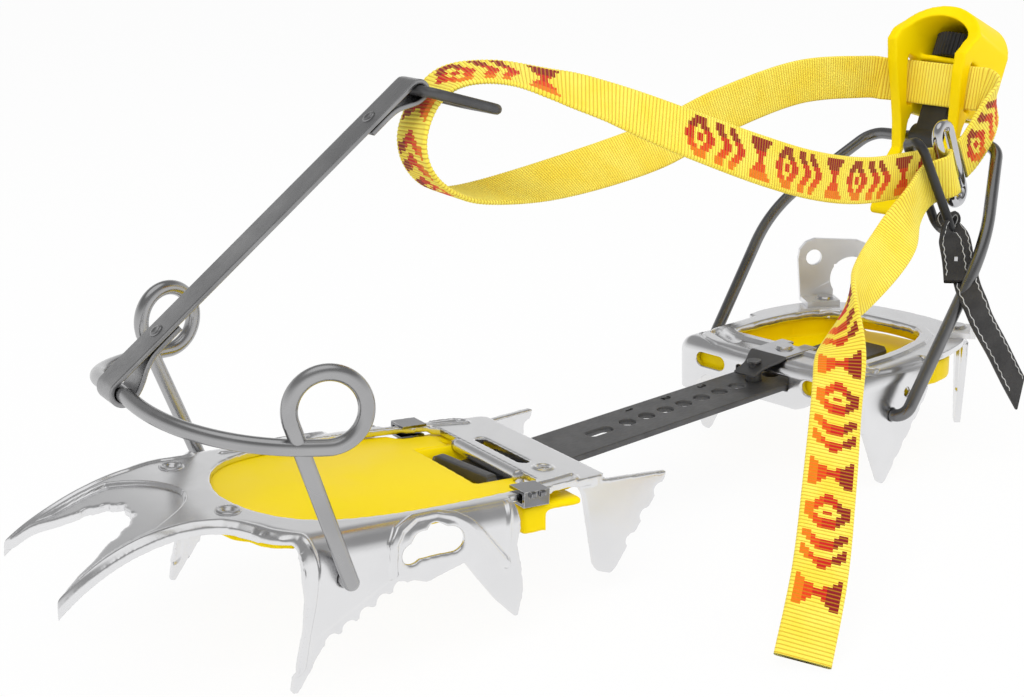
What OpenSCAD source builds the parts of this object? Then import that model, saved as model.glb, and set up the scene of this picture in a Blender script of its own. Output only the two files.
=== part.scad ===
// Walking and climbing crampon for one boot, strapped, with a heel lever.
// Millimetres. X runs from toe to heel along the link bar, Z is up.
// The origin is the centre of the first round hole in the link bar's top face.

/* [Plates] */
// thickness of the stamped plates
plate_t = 2.4; // [1.8:0.1:3.5]
// outer radius of the bend between the front plate and its side walls
front_bend = 7; // [4:0.5:9]
// outer radius of the bends of the heel plate
heel_bend = 5; // [4:0.5:7]
// height of the heel plate's top above the bar's top
heel_top = 7.2; // [6:0.2:10]
// angle that the front plate turns inward from the bar
toe_turn = 7.3; // [0:0.1:12]
// angle that the front plate rises towards the toe
toe_rise = 4.9; // [0:0.1:8]
// depth of the side points below the front plate
point_drop = 40.4; // [34:0.2:46]
// radius of the curved nose that carries the two front points
nose_r = 62; // [50:1:90]
// distance that the front plate's middle lies outward of the nose's middle
plate_off = 8; // [0:0.5:12]

/* [Link bar] */
// width of the link bar
bar_w = 22.6; // [16:0.2:28]
// thickness of the link bar
bar_t = 2; // [1.5:0.1:3]
// spacing of the round holes
hole_pitch = 8.7; // [7:0.1:12]
// diameter of the round holes
hole_d = 5.5; // [4:0.1:7]
// number of round holes in the row
hole_count = 9; // [5:1:11]
// rear end of the bar
bar_end = 124; // [100:1:150]

/* [Wires] */
// diameter of the toe bail wire
toe_wire = 4.3; // [3.5:0.1:6]
// diameter of the heel bail wire
heel_wire = 4.3; // [3.5:0.1:6]
// diameter of the strap ring wire
ring_wire = 3; // [2:0.1:4]
// running clearance on each side of a wire in its hole
run_clear = 0.08; // [0.02:0.01:0.1]
// mean radius of the toe bail's side loops
loop_r = 9.4; // [7:0.1:13]
// mean radius of the toe bail's front curve
front_r = 47.5; // [40:0.5:60]

/* [Toe link] */
// width of the link strip
link_w = 10; // [7:0.5:16]
// thickness of the link strip
link_t = 1.6; // [1:0.1:2.5]

/* [Heel lever] */
// lean of the lever from the vertical
lever_lean = 24; // [10:1:40]
// inside width of the lever
lever_in = 19; // [15:0.5:24]
// wall thickness of the lever
lever_wall = 4.4; // [3:0.2:6]
// radius of the adjuster wheel
wheel_r = 6; // [4:0.2:6]
// radius of the adjuster screw
screw_r = 2.5; // [2:0.1:3]

/* [Webbing] */
// width of the webbing
web_w = 15.5; // [12:0.5:25]
// thickness of the webbing
web_t = 1.6; // [1:0.1:2.5]

/* [Hidden] */
$fn = 48;

steel = [0.75, 0.76, 0.77];
dark = [0.2, 0.2, 0.21];
yellow = [1, 0.82, 0.05];
gap = 0.15;
// a bend is this much thinner than the straight wire that it joins
step = 0.02;
// a straight wire reaches this far into the bend that it joins
lap = 0.05;

front_pos = [-51.4, 7.8, 4.6];
nose_start = -99;
lip_r = 2.55;
lip_x = -6.5;
// side walls of the front plate, outer face
wall_x = -90;
wall_y = 43.4;
wall_len = 68.5;
plate_mid = -plate_off;
// the toe bail's middle, from the nose's frame
bail_at = [-3.9, plate_mid, 3.3];
// toe bail pivot in the front plate's frame
toe_pivot = [-71.2, 43.4, -14.6];
loop_mid = [-81.1, 52.4, 33.8];
loop_turn = 17;
loop_tilt = 9;
// link bar
lock_hole = 7;
lock_x = lock_hole * hole_pitch;
// the heel section is drawn for a lock at this place, and moves with the hole that the lock uses
lock_drawn = 60.9;
heel_shift = lock_x - lock_drawn;
pin_r = hole_d / 2 - 0.12;
// heel plate
heel_front = 70;
heel_side = 36;
heel_pivot = [84.5, 41, -8.6];
heel_rivet = [136, 29.7];
rivet_r = 2.2;
// heel bail crossbar, where the lever turns
lever_pos = [159, 0, 71];
wheel_low = 29.6;
wheel_high = 38.4;
strap_x = -6.9;
strap_z = 18.6;

// helpers

function unit(v) = v / norm(v);
function both(h) = concat(h, [for (i = [len(h) - 1 : -1 : 0]) if (h[i][1] > 0.001) [h[i][0], -h[i][1]]]);
function pick(p, i) = p[max(0, min(len(p) - 1, i))];
function curve(a, b, c, d, t) = 0.5 * (2 * b + (c - a) * t + (2 * a - 5 * b + 4 * c - d) * t * t
  + (3 * b - a - 3 * c + d) * t * t * t);
function smooth(p, n) = concat([for (i = [0 : len(p) - 2]) for (k = [0 : n - 1])
  curve(pick(p, i - 1), p[i], p[i + 1], pick(p, i + 2), k / n)], [p[len(p) - 1]]);
function across(z) = abs(z[2]) < 0.9 ? unit(cross([0, 0, 1], z)) : unit(cross([0, 1, 0], z));

module base(o, x, y, z) {
  multmatrix([[x[0], y[0], z[0], o[0]], [x[1], y[1], z[1], o[1]], [x[2], y[2], z[2], o[2]], [0, 0, 0, 1]])
    children();
}

module rod(a, b, d) {
  z = unit(b - a);
  x = across(z);
  base(a, x, cross(z, x), z) cylinder(h = norm(b - a), d = d);
}

// length that a bend of radius r takes from each side of the corner b
function trim(a, b, c, r) = r * sqrt((1 + unit(a - b) * unit(c - b)) / (1 - unit(a - b) * unit(c - b)));

module bend(a, b, c, r, d) {
  t1 = unit(a - b);
  t2 = unit(c - b);
  k = trim(a, b, c, r);
  half = acos(t1 * t2) / 2;
  mid = b + unit(t1 + t2) * r / sin(half);
  x = unit(b + t1 * k - mid);
  z = unit(cross(x, b + t2 * k - mid));
  base(mid, x, cross(z, x), z) rotate_extrude(angle = 180 - 2 * half) translate([r, 0]) circle(d = d - step);
}

// round wire through corner points p, bent at the radii r
module wire(p, r, d) {
  n = len(p) - 1;
  for (i = [0 : n - 1]) {
    s = i == 0 ? 0 : trim(p[i - 1], p[i], p[i + 1], r[i]) - lap;
    e = i == n - 1 ? 0 : trim(p[i], p[i + 1], p[i + 2], r[i + 1]) - lap;
    u = unit(p[i + 1] - p[i]);
    rod(p[i] + u * s, p[i + 1] - u * e, d);
    if (i > 0) bend(p[i - 1], p[i], p[i + 1], r[i], d);
  }
}

module closed_wire(p, r, d) {
  n = len(p);
  for (i = [0 : n - 1]) {
    a = p[(i + n - 1) % n];
    b = p[i];
    c = p[(i + 1) % n];
    e = p[(i + 2) % n];
    u = unit(c - b);
    bend(a, b, c, r, d);
    rod(b + u * (trim(a, b, c, r) - lap), c - u * (trim(b, c, e, r) - lap), d);
  }
}

// flat ribbon through points p with width directions q
module ribbon(p, q, w, t, n) {
  a = smooth(p, n);
  b = smooth(q, n);
  m = len(a);
  tan = [for (i = [0 : m - 1]) unit(a[min(m - 1, i + 1)] - a[max(0, i - 1)])];
  sid = [for (i = [0 : m - 1]) unit(b[i] - tan[i] * (b[i] * tan[i]))];
  nor = [for (i = [0 : m - 1]) cross(tan[i], sid[i])];
  pts = [for (i = [0 : m - 1]) for (k = [[-1, -1], [1, -1], [1, 1], [-1, 1]])
    a[i] + sid[i] * k[0] * w / 2 + nor[i] * k[1] * t / 2];
  walls = [for (i = [0 : m - 2]) for (k = [0 : 3]) for (h = [0 : 1])
    h == 0 ? [4 * i + k, 4 * i + 4 + k, 4 * i + (k + 1) % 4]
      : [4 * i + (k + 1) % 4, 4 * i + 4 + k, 4 * i + 4 + (k + 1) % 4]];
  e = 4 * (m - 1);
  polyhedron(pts, concat(walls, [[0, 1, 2], [0, 2, 3], [e, e + 2, e + 1], [e, e + 3, e + 2]]), convexity = 12);
}

module front_place() {
  translate(front_pos) rotate([0, 0, -toe_turn]) rotate([0, toe_rise, 0]) children();
}

module heel_place() {
  translate([heel_shift, 0, 0]) children();
}

module lever_place() {
  heel_place() translate(lever_pos) rotate([0, lever_lean, 0]) children();
}

module both_sides() {
  children();
  mirror([0, 1, 0]) children();
}

module quarter_ring(r) {
  intersection() {
    difference() {
      circle(r);
      circle(r - plate_t);
    }
    square([r + 1, r + 1]);
  }
}

module slot_y(len, d, h) {
  cube([d, len - d, h], center = true);
  for (s = [-1, 1]) translate([0, s * (len - d) / 2, 0]) cylinder(d = d, h = h, center = true);
}

// front section

front_window = concat([[-91, 0]], smooth([[-90.4, 6], [-88.4, 13], [-85, 20], [-79, 26.6], [-70, 31], [-58, 33.2],
  [-45, 33.8], [-30, 33.4], [-17, 32.2], [-9, 30.4]], 3), [[-6, 27], [-6, 0]]);
flat_half = wall_y - front_bend;
near_edge = [[nose_start - 0.2, -28.6], [-96.4, -31.4], [-94, -35], [-92, -39.4], [-89.6, -42.6],
  [wall_x + 3, plate_mid - flat_half]];
far_edge = [[nose_start - 0.2, 28.6], [-95, 29.4], [-91, 29.2], [wall_x + 3, plate_mid + flat_half]];
function rear_edge(s) = [[wall_x + wall_len, plate_mid + s * flat_half], [-20, plate_mid + s * (flat_half - 0.3)],
  [13, plate_mid + s * 33], [14.5, plate_mid + s * 31.4]];
front_outline = concat(near_edge, rear_edge(-1), [for (i = [3 : -1 : 0]) rear_edge(1)[i]],
  [for (i = [3 : -1 : 0]) far_edge[i]]);
nose_outline = concat([[nose_start, 0]], smooth([[nose_start, 28.7], [-106, 26.2], [-118, 24.7], [-130, 24.2],
  [-141.3, 24]], 3), smooth([[-137.8, 17.6], [-131, 15.8], [-124, 12.6], [-118.5, 9.4], [-115, 5.2], [-114, 0]], 3));
wall_outline = [[3, -front_bend], [4.2, -15], [3.4, -23], [1.8, -31], [0.4, -point_drop], [2, -point_drop],
  [9, -29.6], [32, -16.8], [35, -15.8], [39.4, -17.2], [44, -15.8], [51, -13.8], [55.7, -19.8], [61.4, -26.7],
  [67.6, -32.6], [68.8, -32.6], [70.2, -25.4], [69.4, -19], [67.6, -11.6], [68.4, -front_bend]];
wing_outline = [[-4, -1.2], [2, -1.2], [4.6, -1.6], [26, -0.8], [25.4, -3], [11, -29.2], [9.3, -30.9], [5, -29.7],
  [3.6, -27.7], [-1, -5.7]];

module wall_frame() {
  translate([wall_x, wall_y, 0]) children();
}

module side_wall() {
  wall_frame() difference() {
    union() {
      rotate([90, 0, 0]) linear_extrude(plate_t) polygon(wall_outline);
      translate([3, -front_bend, -front_bend]) rotate([90, 0, 90]) linear_extrude(wall_len - 3) quarter_ring(front_bend);
    }
    // kidney window
    for (c = [[34.6, -8.8, 2.7], [38.4, -6.8, 3.5], [43, -5.8, 3.8], [47.4, -6.8, 3.3]])
      translate([c[0], 0, c[1]]) rotate([90, 0, 0]) cylinder(r = c[2], h = 16, center = true);
    translate([36, -8, -10]) cube([11, 16, 4]);
    // serrated rear edge of the side point
    for (i = [0 : 4]) translate([12 + 4.9 * i, 0, -28.5 + 2.72 * i]) rotate([90, 0, 0]) cylinder(r = 2.2, h = 12, center = true);
    for (c = [[72, -26.5], [71.4, -20]]) translate([c[0], 0, c[1]]) rotate([90, 0, 0]) cylinder(r = 2.1, h = 12, center = true);
  }
}

module wing() {
  translate([8.1, 32.6, 0]) rotate([0, 0, 9.6]) difference() {
    rotate([90, 0, 0]) linear_extrude(plate_t) polygon(wing_outline);
    for (i = [0 : 2]) translate([24.6 - 4.2 * i, 0, -6.6 - 7.4 * i]) rotate([90, 0, 0]) cylinder(r = 2.4, h = 12, center = true);
  }
}

module nose() {
  intersection() {
    translate([0, 0, -40]) linear_extrude(41) polygon(both(nose_outline));
    translate([nose_start, 0, -nose_r]) rotate([90, 0, 0]) difference() {
      cylinder(r = nose_r, h = 90, center = true, $fn = 96);
      cylinder(r = nose_r - plate_t, h = 92, center = true, $fn = 96);
    }
    difference() {
      translate([-160, -50, -60]) cube([160, 100, 70]);
      for (c = [[-122.4, 10.4, 2], [-118.4, 7.6, 1.9], [-115.4, 3.8, 1.8]]) for (s = [-1, 1])
        translate([c[0], s * c[1], -40]) cylinder(r = c[2], h = 50);
    }
  }
}

module plate_place() {
  translate([0, plate_mid, 0]) children();
}

module front_plate() {
  color(steel) front_place() difference() {
    union() {
      translate([0, 0, -plate_t]) linear_extrude(plate_t) polygon(front_outline);
      nose();
      plate_place() {
        both_sides() {
          side_wall();
          wing();
        }
        translate([lip_x, -3, -lip_r]) rotate([90, 0, 0]) cylinder(r = lip_r, h = 36, center = true);
      }
    }
    plate_place() {
      translate([0, 0, -20]) linear_extrude(30) polygon(both(front_window));
      translate([-0.4, 0, 0]) slot_y(27, 4, 20);
      translate([1.4, -19.6, 0]) cylinder(r = 1.6, h = 20, center = true);
      both_sides() translate([toe_pivot[0] + bail_at[0], toe_pivot[1], toe_pivot[2] + bail_at[2]]) rotate([90, 0, 0])
        cylinder(d = toe_wire + 2 * run_clear, h = 12, center = true);
    }
    for (s = [-1, 1]) translate([-93.8, s * 20.2, 0]) cylinder(r = rivet_r, h = 20, center = true);
  }
}

antiball_z = -plate_t - gap;
antiball_t = 2;
antiball_outline = concat([[-93, 0]], smooth([[-93, 12], [-90, 20], [-86, 27], [-81, 32.6], [-75, 36]], 3),
  [[-26, 36], [-21, 34.6], [-19, 30.4], [-8, 29.8], [-8, 0]]);
nose_flap = [[-99, 0], [-99, 21], [-95.4, 26], [-91, 27.4], [-86, 26], [-84, 0]];

module front_antiball() {
  low = antiball_z - antiball_t;
  color(yellow) front_place() difference() {
    union() {
      translate([0, 0, low]) linear_extrude(antiball_t) union() {
        polygon(both(nose_flap));
        translate([0, plate_mid]) polygon(both(antiball_outline));
      }
      plate_place() both_sides() {
        translate([-20, 23, low - 0.4]) cube([20, 7, 2]);
        translate([-15.6, 26, low - 2]) cube([19.6, 10.2, 2.2]);
        translate([-16, 32.6, low - 8]) cube([8, 3.6, 7]);
      }
    }
    translate([-20.5, plate_mid - 17.5, -12]) cube([30, 35, 20]);
    for (s = [-1, 1]) translate([-93.8, s * 20.2, 0]) cylinder(r = rivet_r, h = 20, center = true);
  }
}

module front_rivets() {
  color(steel) front_place() for (s = [-1, 1]) translate([-93.8, s * 20.2, 0]) difference() {
    union() {
      translate([0, 0, 0.02]) cylinder(r = 3.7, h = 0.8);
      translate([0, 0, antiball_z - antiball_t - 0.9]) cylinder(r = rivet_r - 0.03, h = 5.6);
      translate([0, 0, antiball_z - antiball_t - 0.92]) cylinder(r = 3.7, h = 0.9);
    }
    cylinder(r = 1.5, h = 30, center = true);
  }
}

module clip() {
  // spring clip that holds the anti-snow plate to the edge of the front plate
  translate([-17.4, 0, 0]) {
    translate([0, 30.4, 0.05]) cube([8.4, 7.8, 0.9]);
    translate([0, 37.2, -plate_t - 1]) cube([8.4, 1, plate_t + 1.95]);
    translate([0, 31.5, -plate_t - 1.2]) cube([8.4, 6.7, 0.9]);
    for (x = [2.6, 5.8]) translate([x, 38.2, 0]) rotate([0, 90, 0]) cylinder(r = 0.95, h = 1.6, center = true);
  }
}

module clip_left() {
  color(steel) front_place() plate_place() mirror([0, 1, 0]) clip();
}

module clip_right() {
  color(steel) front_place() plate_place() clip();
}

// toe bail, drawn on the right side of the front plate's frame and mirrored

e1 = [cos(loop_turn), sin(loop_turn), 0];
low = loop_mid - [0, 0, loop_r];
k1 = [sin(loop_turn), -cos(loop_turn), 0];
k2 = k1 * cos(loop_tilt) + [0, 0, sin(loop_tilt)];
bail_mid = low - e1 * front_r * cos(loop_turn) + k2 * front_r * (1 - sin(loop_turn));
pivot_out = toe_pivot + [0, 3.2, 0];
rel = pivot_out - loop_mid;
leg_angle = atan2(rel[2], rel * e1) - acos(loop_r / norm([rel * e1, rel[2]]));
leg_top = loop_mid + e1 * loop_r * cos(leg_angle) + [0, 0, loop_r * sin(leg_angle)];

module bail_half() {
  rod(toe_pivot - [0, 4, 0], pivot_out, toe_wire);
  translate(pivot_out) sphere(d = toe_wire + 3 * step);
  rod(pivot_out, leg_top, toe_wire);
  translate(leg_top) sphere(d = toe_wire + 3 * step);
  base(loop_mid, [0, 0, -1], e1, cross([0, 0, -1], e1))
    rotate_extrude(angle = leg_angle + 450) translate([loop_r, 0]) circle(d = toe_wire - step);
  base(low + k2 * front_r, -k2, -e1, cross(-k2, -e1))
    rotate_extrude(angle = 90 - loop_turn) translate([front_r, 0]) circle(d = toe_wire - 2 * step);
  translate(bail_mid) sphere(d = toe_wire + 3 * step);
}

module toe_bail() {
  color(steel) front_place() translate(bail_at) {
    both_sides() bail_half();
    rod([bail_mid[0], -bail_mid[1], bail_mid[2]], bail_mid, toe_wire);
  }
}

// toe link from the bail to the strap ring

eye_low = [bail_mid[0], 0, bail_mid[2]];
eye_top = [-30.5, 0, 104.5];
link_len = norm(eye_top - eye_low);
link_lean = atan2(eye_top[2] - eye_low[2], eye_top[0] - eye_low[0]);
eye_r1 = toe_wire / 2 + run_clear;
eye_r2 = ring_wire / 2 + run_clear;

module link_place() {
  front_place() translate(bail_at + eye_low) rotate([0, -link_lean, 0]) children();
}

module eye(r) {
  rotate([90, 0, 0]) difference() {
    cylinder(r = r + link_t, h = link_w, center = true);
    cylinder(r = r, h = link_w + 2, center = true);
  }
}

lap1 = atan2(2 * eye_r1 + link_t - link_t - 0.1, 15);
lap2 = atan2(2 * eye_r2 - 0.1, 12);

module toe_link() {
  color(dark) link_place() difference() {
    union() {
      eye(eye_r1);
      translate([link_len, 0, 0]) eye(eye_r2);
      rotate([0, asin((eye_r2 - eye_r1) / link_len), 0])
        translate([0, -link_w / 2, -eye_r1 - link_t + 0.04]) cube([link_len, link_w, link_t - 0.08]);
      rotate([0, lap1, 0]) translate([0, -link_w / 2 + 0.1, eye_r1 + 0.04]) cube([15.5, link_w - 0.2, link_t - 0.08]);
      translate([14.5, -link_w / 2 + 0.2, -eye_r1 - 0.2]) cube([6, link_w - 0.4, link_t + 0.22]);
      translate([link_len, 0, 0]) rotate([0, -lap2, 0]) translate([-12.5, -link_w / 2 + 0.1, eye_r2 + 0.04]) cube([12.5, link_w - 0.2, link_t - 0.08]);
      translate([link_len - 17, -link_w / 2 + 0.2, -eye_r2 - 0.4]) cube([6, link_w - 0.4, link_t + 0.5]);
    }
    rotate([90, 0, 0]) cylinder(r = eye_r1, h = link_w + 2, center = true);
    translate([link_len, 0, 0]) rotate([90, 0, 0]) cylinder(r = eye_r2, h = link_w + 2, center = true);
    for (x = [18.2, link_len - 14.9]) translate([x, 0, 0]) cylinder(r = 1.2, h = 20, center = true);
  }
}

module link_rivets() {
  color(dark) link_place() for (c = [[18.2, -eye_r1 + link_t], [link_len - 14.9, -eye_r2 + 0.1 + link_t]])
    translate([c[0], 0, c[1]]) {
      translate([0, 0, -link_t * 2 - 0.4]) cylinder(r = 1.17, h = link_t * 2 + 0.8);
      translate([0, 0, 0.06]) cylinder(r1 = 1.9, r2 = 1.5, h = 0.6);
      translate([0, 0, -2 * link_t - 1.1]) cylinder(r = 2, h = 0.75);
    }
}

ring_w = web_w + ring_wire + 2.6;
ring_tip = [-8, 0, 99.4];

module strap_ring() {
  d = ring_tip - eye_top;
  color(dark) front_place() translate(bail_at) closed_wire([eye_top + [0, -ring_w / 2, 0], eye_top + [0, ring_w / 2, 0],
    eye_top + d + [0, ring_w / 2, 0], eye_top + d + [0, -ring_w / 2, 0]], 3.2, ring_wire);
}

// link bar

module link_bar() {
  color(dark) difference() {
    union() {
      translate([-62, -bar_w / 2, -bar_t]) cube([62 + bar_end, bar_w, bar_t]);
      translate([-69, -15.5 + 3, -bar_t]) cube([8, 31 - 6, bar_t]);
      for (s = [-1, 1]) {
        translate([-66, s * 12.5, -bar_t]) cylinder(r = 3, h = bar_t);
        translate([-66, s * 7.75 - 7.75, -bar_t]) cube([5, 15.5, bar_t]);
      }
      // raised front edge that hooks the lip
      translate([-68.9, -12.4, -bar_t + 0.1]) cube([4, 24.8, bar_t + 1.4]);
    }
    for (i = [0 : hole_count - 1]) translate([i * hole_pitch, 0, 0]) cylinder(d = hole_d, h = 10, center = true);
    translate([108, 0, 0]) cylinder(d = hole_d, h = 10, center = true);
    translate([-12.5, 0, 0]) rotate([0, 0, 90]) slot_y(10.5, 4.4, 10);
    for (s = [-1, 1]) translate([bar_end, s * bar_w / 2, -5]) rotate([0, 0, 45]) cube([5, 5, 12], center = true);
  }
}

// heel section

heel_outline = concat([[heel_front, 0], [heel_front, heel_side], [104, heel_side]],
  smooth([[104.3, 40.6], [112, 41.2], [119, 40.2], [127, 38.2], [133, 35.4], [138, 31.2], [142, 25.6],
  [145, 18], [146.6, 9], [147, 0]], 3));
heel_window = concat([[82, 0]], smooth([[82, 25], [84.5, 28.4], [94, 28.8], [104, 28.2], [115, 26.2], [124, 22.4],
  [128.4, 17], [129.8, 9], [130, 0]], 3));
heel_wall_outline = [[70, 2.2], [104, 2.2], [104.6, -4], [101.6, -9.2], [82, -32], [80.4, -32.6], [78.6, -31.2],
  [73.6, -20], [70, -12]];
flange_outline = [[36, 2.2], [36, -12], [32.5, -11.6], [30, -7], [27, -5], [22, -5], [18.6, -7], [15, -8.4], [0, -8.4]];
flange_x = heel_front - heel_bend;

module heel_corner() {
  translate([heel_front, heel_side, heel_top - heel_bend]) intersection() {
    difference() {
      union() {
        sphere(r = heel_bend);
        translate([0, 0, -14.2]) cylinder(r = heel_bend, h = 14.2);
      }
      sphere(r = heel_bend - plate_t);
      translate([0, 0, -20]) cylinder(r = heel_bend - plate_t, h = 20);
    }
    translate([-10, 0, -30]) cube([10, 10, 60]);
  }
}

module rear_leg() {
  translate([138.2, 30.4, heel_top - plate_t]) rotate([0, 0, -46]) rotate([90, 0, 0])
    translate([0, 0, -1.2]) linear_extrude(plate_t)
      polygon([[-7.5, 0.6], [7, 0.6], [6.4, -5], [2.2, -31.5], [-0.8, -32.4], [-6.6, -7]]);
}

module heel_plate() {
  color(steel) heel_place() difference() {
    union() {
      translate([0, 0, heel_top - plate_t]) linear_extrude(plate_t) polygon(both(heel_outline));
      translate([heel_front, 0, heel_top - heel_bend]) rotate([90, 0, 0]) mirror([1, 0, 0])
        linear_extrude(2 * heel_side, center = true) quarter_ring(heel_bend);
      translate([flange_x, 0, 0]) rotate([90, 0, 90]) linear_extrude(plate_t)
        polygon(concat(flange_outline, [for (i = [len(flange_outline) - 2 : -1 : 0]) [-flange_outline[i][0], flange_outline[i][1]]]));
      both_sides() {
        translate([heel_front, heel_side, heel_top - heel_bend]) rotate([90, 0, 90])
          linear_extrude(34) quarter_ring(heel_bend);
        translate([0, heel_side + heel_bend, 0]) rotate([90, 0, 0]) linear_extrude(plate_t) polygon(heel_wall_outline);
        heel_corner();
        rear_leg();
      }
    }
    translate([0, 0, heel_top - 20]) linear_extrude(30) polygon(both(heel_window));
    // opening for the link bar
    translate([flange_x - 5, -bar_w / 2 - 0.5, -bar_t - 0.25]) cube([12, bar_w + 1, bar_t + 2.6]);
    both_sides() {
      translate([flange_x, 24.4, 0.6]) rotate([0, 90, 0]) slot_y(13.5, 5, 20);
      translate([heel_pivot[0], heel_pivot[1], heel_pivot[2]]) rotate([90, 0, 0])
        cylinder(d = heel_wire + 2 * run_clear, h = 14, center = true);
      translate([92.5, 41, -2.4]) rotate([90, 0, 0]) cylinder(r = 1.6, h = 14, center = true);
      for (i = [0 : 3]) translate([88.6 + 4.6 * i, 41, -26.8 + 5.4 * i]) rotate([90, 0, 0]) cylinder(r = 2.3, h = 14, center = true);
      translate([heel_rivet[0], heel_rivet[1], 0]) cylinder(r = rivet_r, h = 30, center = true);
    }
    translate([77, 0, 0]) cylinder(r = rivet_r, h = 30, center = true);
  }
}

module heel_antiball() {
  top = heel_top - plate_t - 0.02;
  low_z = -bar_t - 0.5;
  color(yellow) heel_place() difference() {
    union() {
      translate([0, 0, low_z - 2.2]) linear_extrude(heel_top - heel_bend + 1 - low_z + 2.2)
        polygon(both(concat([[68, 0], [68, 33], [71, 37.6], [104, 37.6]], smooth([[112, 38.6], [120, 37.6],
        [127, 33], [129, 27]], 3), [[131, 26], [143, 18], [145, 8], [145, 0]])));
      // rim that meets the underside of the plate
      translate([0, 0, low_z]) linear_extrude(top - low_z) polygon(both(concat([[71.4, 0], [71.4, 33], [74, 34.6],
        [104, 34.6]], smooth([[112, 35.4], [119, 33], [124.6, 28], [127, 23]], 3), [[136, 18], [140, 14], [140, 0]])));
    }
    // dish above the floor, open at the front and rear for the bar
    translate([0, 0, low_z]) linear_extrude(30) polygon(both([[72, 0], [72, 30], [80, 31.5], [104, 31], [116, 29],
      [126, 23], [150, 13], [150, 0]]));
    translate([60, -bar_w / 2 - 1.6, low_z]) cube([20, bar_w + 3.2, 30]);
    translate([77, 0, 0]) cylinder(r = 4, h = 40, center = true);
    both_sides() translate([heel_pivot[0], 34, heel_pivot[2]]) rotate([-90, 0, 0]) cylinder(r = 4, h = 10);
  }
}

post_turn = 34;

module heel_post() {
  // upright plate at the rear corner, standing on a riveted foot
  translate([heel_rivet[0], heel_rivet[1], heel_top + 0.03]) difference() {
    union() {
      rotate([0, 0, -post_turn]) translate([0, 4.6, 0]) {
        rotate([90, 0, 0]) translate([0, 0, -2]) linear_extrude(2) difference() {
          polygon([[-8.4, 0], [-9.6, 17], [-9, 20.6], [-6.6, 23.4], [-3, 24.6], [14, 23], [18, 21.2], [19.2, 18.4],
            [18.8, 14.6], [4.6, 14], [4.4, 0]]);
          translate([11.4, 8.4]) circle(r = 8.2);
          translate([-3.4, 17.2]) circle(r = 3.1);
        }
        translate([-8.4, -9.4, 0]) cube([12.8, 10, 2]);
      }
    }
    translate([0, 0, -5]) cylinder(r = rivet_r, h = 20);
  }
}

module heel_post_right() {
  color(steel) heel_place() heel_post();
}

module heel_post_left() {
  color(steel) heel_place() mirror([0, 1, 0]) heel_post();
}

module post_rivets() {
  color(steel) heel_place() both_sides() translate([heel_rivet[0], heel_rivet[1], heel_top]) {
    translate([0, 0, -plate_t - 0.8]) cylinder(r = rivet_r - 0.03, h = plate_t + 3.2);
    translate([0, 0, 2.06]) cylinder(r1 = 3.7, r2 = 2.9, h = 0.9);
  }
}

// sprung lock that drops a pin into the bar

module lock_spring() {
  color(steel) heel_place() difference() {
    union() {
      translate([68.4, -8, heel_top + 0.05]) cube([13, 16, 1]);
      translate([68.6, -8, heel_top + 0.05]) rotate([0, 160, 0]) translate([0, 0, -1]) cube([13.4, 16, 1]);
      for (s = [-1, 1]) translate([80, s * 5.2 - 2.8, heel_top + 0.05]) cube([5, 5.6, 1]);
    }
    translate([77, 0, 0]) cylinder(r = rivet_r, h = 30, center = true);
    translate([lock_drawn, 0, 0]) cylinder(r = 1.5, h = 30, center = true);
  }
}

module lock_rivet() {
  color(steel) heel_place() translate([77, 0, heel_top]) {
    translate([0, 0, -plate_t - 1]) cylinder(r = rivet_r - 0.03, h = plate_t + 2.2);
    translate([0, 0, 1.08]) cylinder(r1 = 3.6, r2 = 2.8, h = 0.9);
    translate([0, 0, -plate_t - 1.1]) cylinder(r = 3.2, h = 0.95);
  }
}

module lock_pin() {
  color(steel) translate([lock_x, 0, 0]) {
    translate([0, 0, -bar_t + 0.2]) cylinder(r = pin_r, h = bar_t + 3);
    translate([0, 0, 2]) cylinder(r = 1.47, h = 5);
    translate([0, 0, 6.6]) cylinder(r = 2.4, h = 0.7);
  }
}

// heel bail and lever

function bail_side(s) = [[heel_pivot[0], s * 36.6, heel_pivot[2]], [heel_pivot[0], s * 46, heel_pivot[2]],
  [124, s * 47.4, 44], [lever_pos[0], s * 27.5, lever_pos[2]]];

module heel_bail() {
  l = bail_side(-1);
  r = bail_side(1);
  color(dark) heel_place() wire([l[0], l[1], l[2], l[3], r[3], r[2], r[1], r[0]],
    [0, 4.5, 56, 9, 9, 56, 4.5, 0], heel_wire);
}

module adjust_block() {
  color(dark) lever_place() difference() {
    union() {
      rotate([90, 0, 0]) cylinder(r = 5.2, h = 15, center = true);
      translate([-4.6, -5.5, 0]) cube([9.2, 11, 13]);
      translate([0, 0, 12]) cylinder(r1 = 5.2, r2 = 4, h = 4);
    }
    rotate([90, 0, 0]) cylinder(d = heel_wire + 2 * run_clear, h = 30, center = true);
    translate([0, 0, 6.4]) cylinder(r = screw_r + 0.06, h = 30);
  }
}

module adjust_screw() {
  color(dark) lever_place() translate([0, 0, 9]) cylinder(r = screw_r, h = wheel_high + 1.6 - 9);
}

module adjust_wheel() {
  color(dark) lever_place() difference() {
    translate([0, 0, wheel_low]) cylinder(r = wheel_r, h = wheel_high - wheel_low);
    translate([0, 0, 20]) cylinder(r = screw_r + 0.03, h = 40);
    for (a = [0 : 20 : 340]) rotate([0, 0, a]) translate([wheel_r + 0.35, 0, wheel_low - 1])
      cylinder(r = 0.8, h = wheel_high - wheel_low + 2, $fn = 16);
  }
}

lever_half = lever_in / 2 + lever_wall;
lever_top = 47;

module lever_side() {
  // side wall, in the lever's x and z
  rotate([90, 0, 0]) linear_extrude(lever_wall) polygon([[-13.8, -14], [-13.8, 34], [-12, 38], [9, 36], [9, 12],
    [7, 9.4], [-4, 8], [-6.4, 4], [-7.4, -14]]);
}

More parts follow.
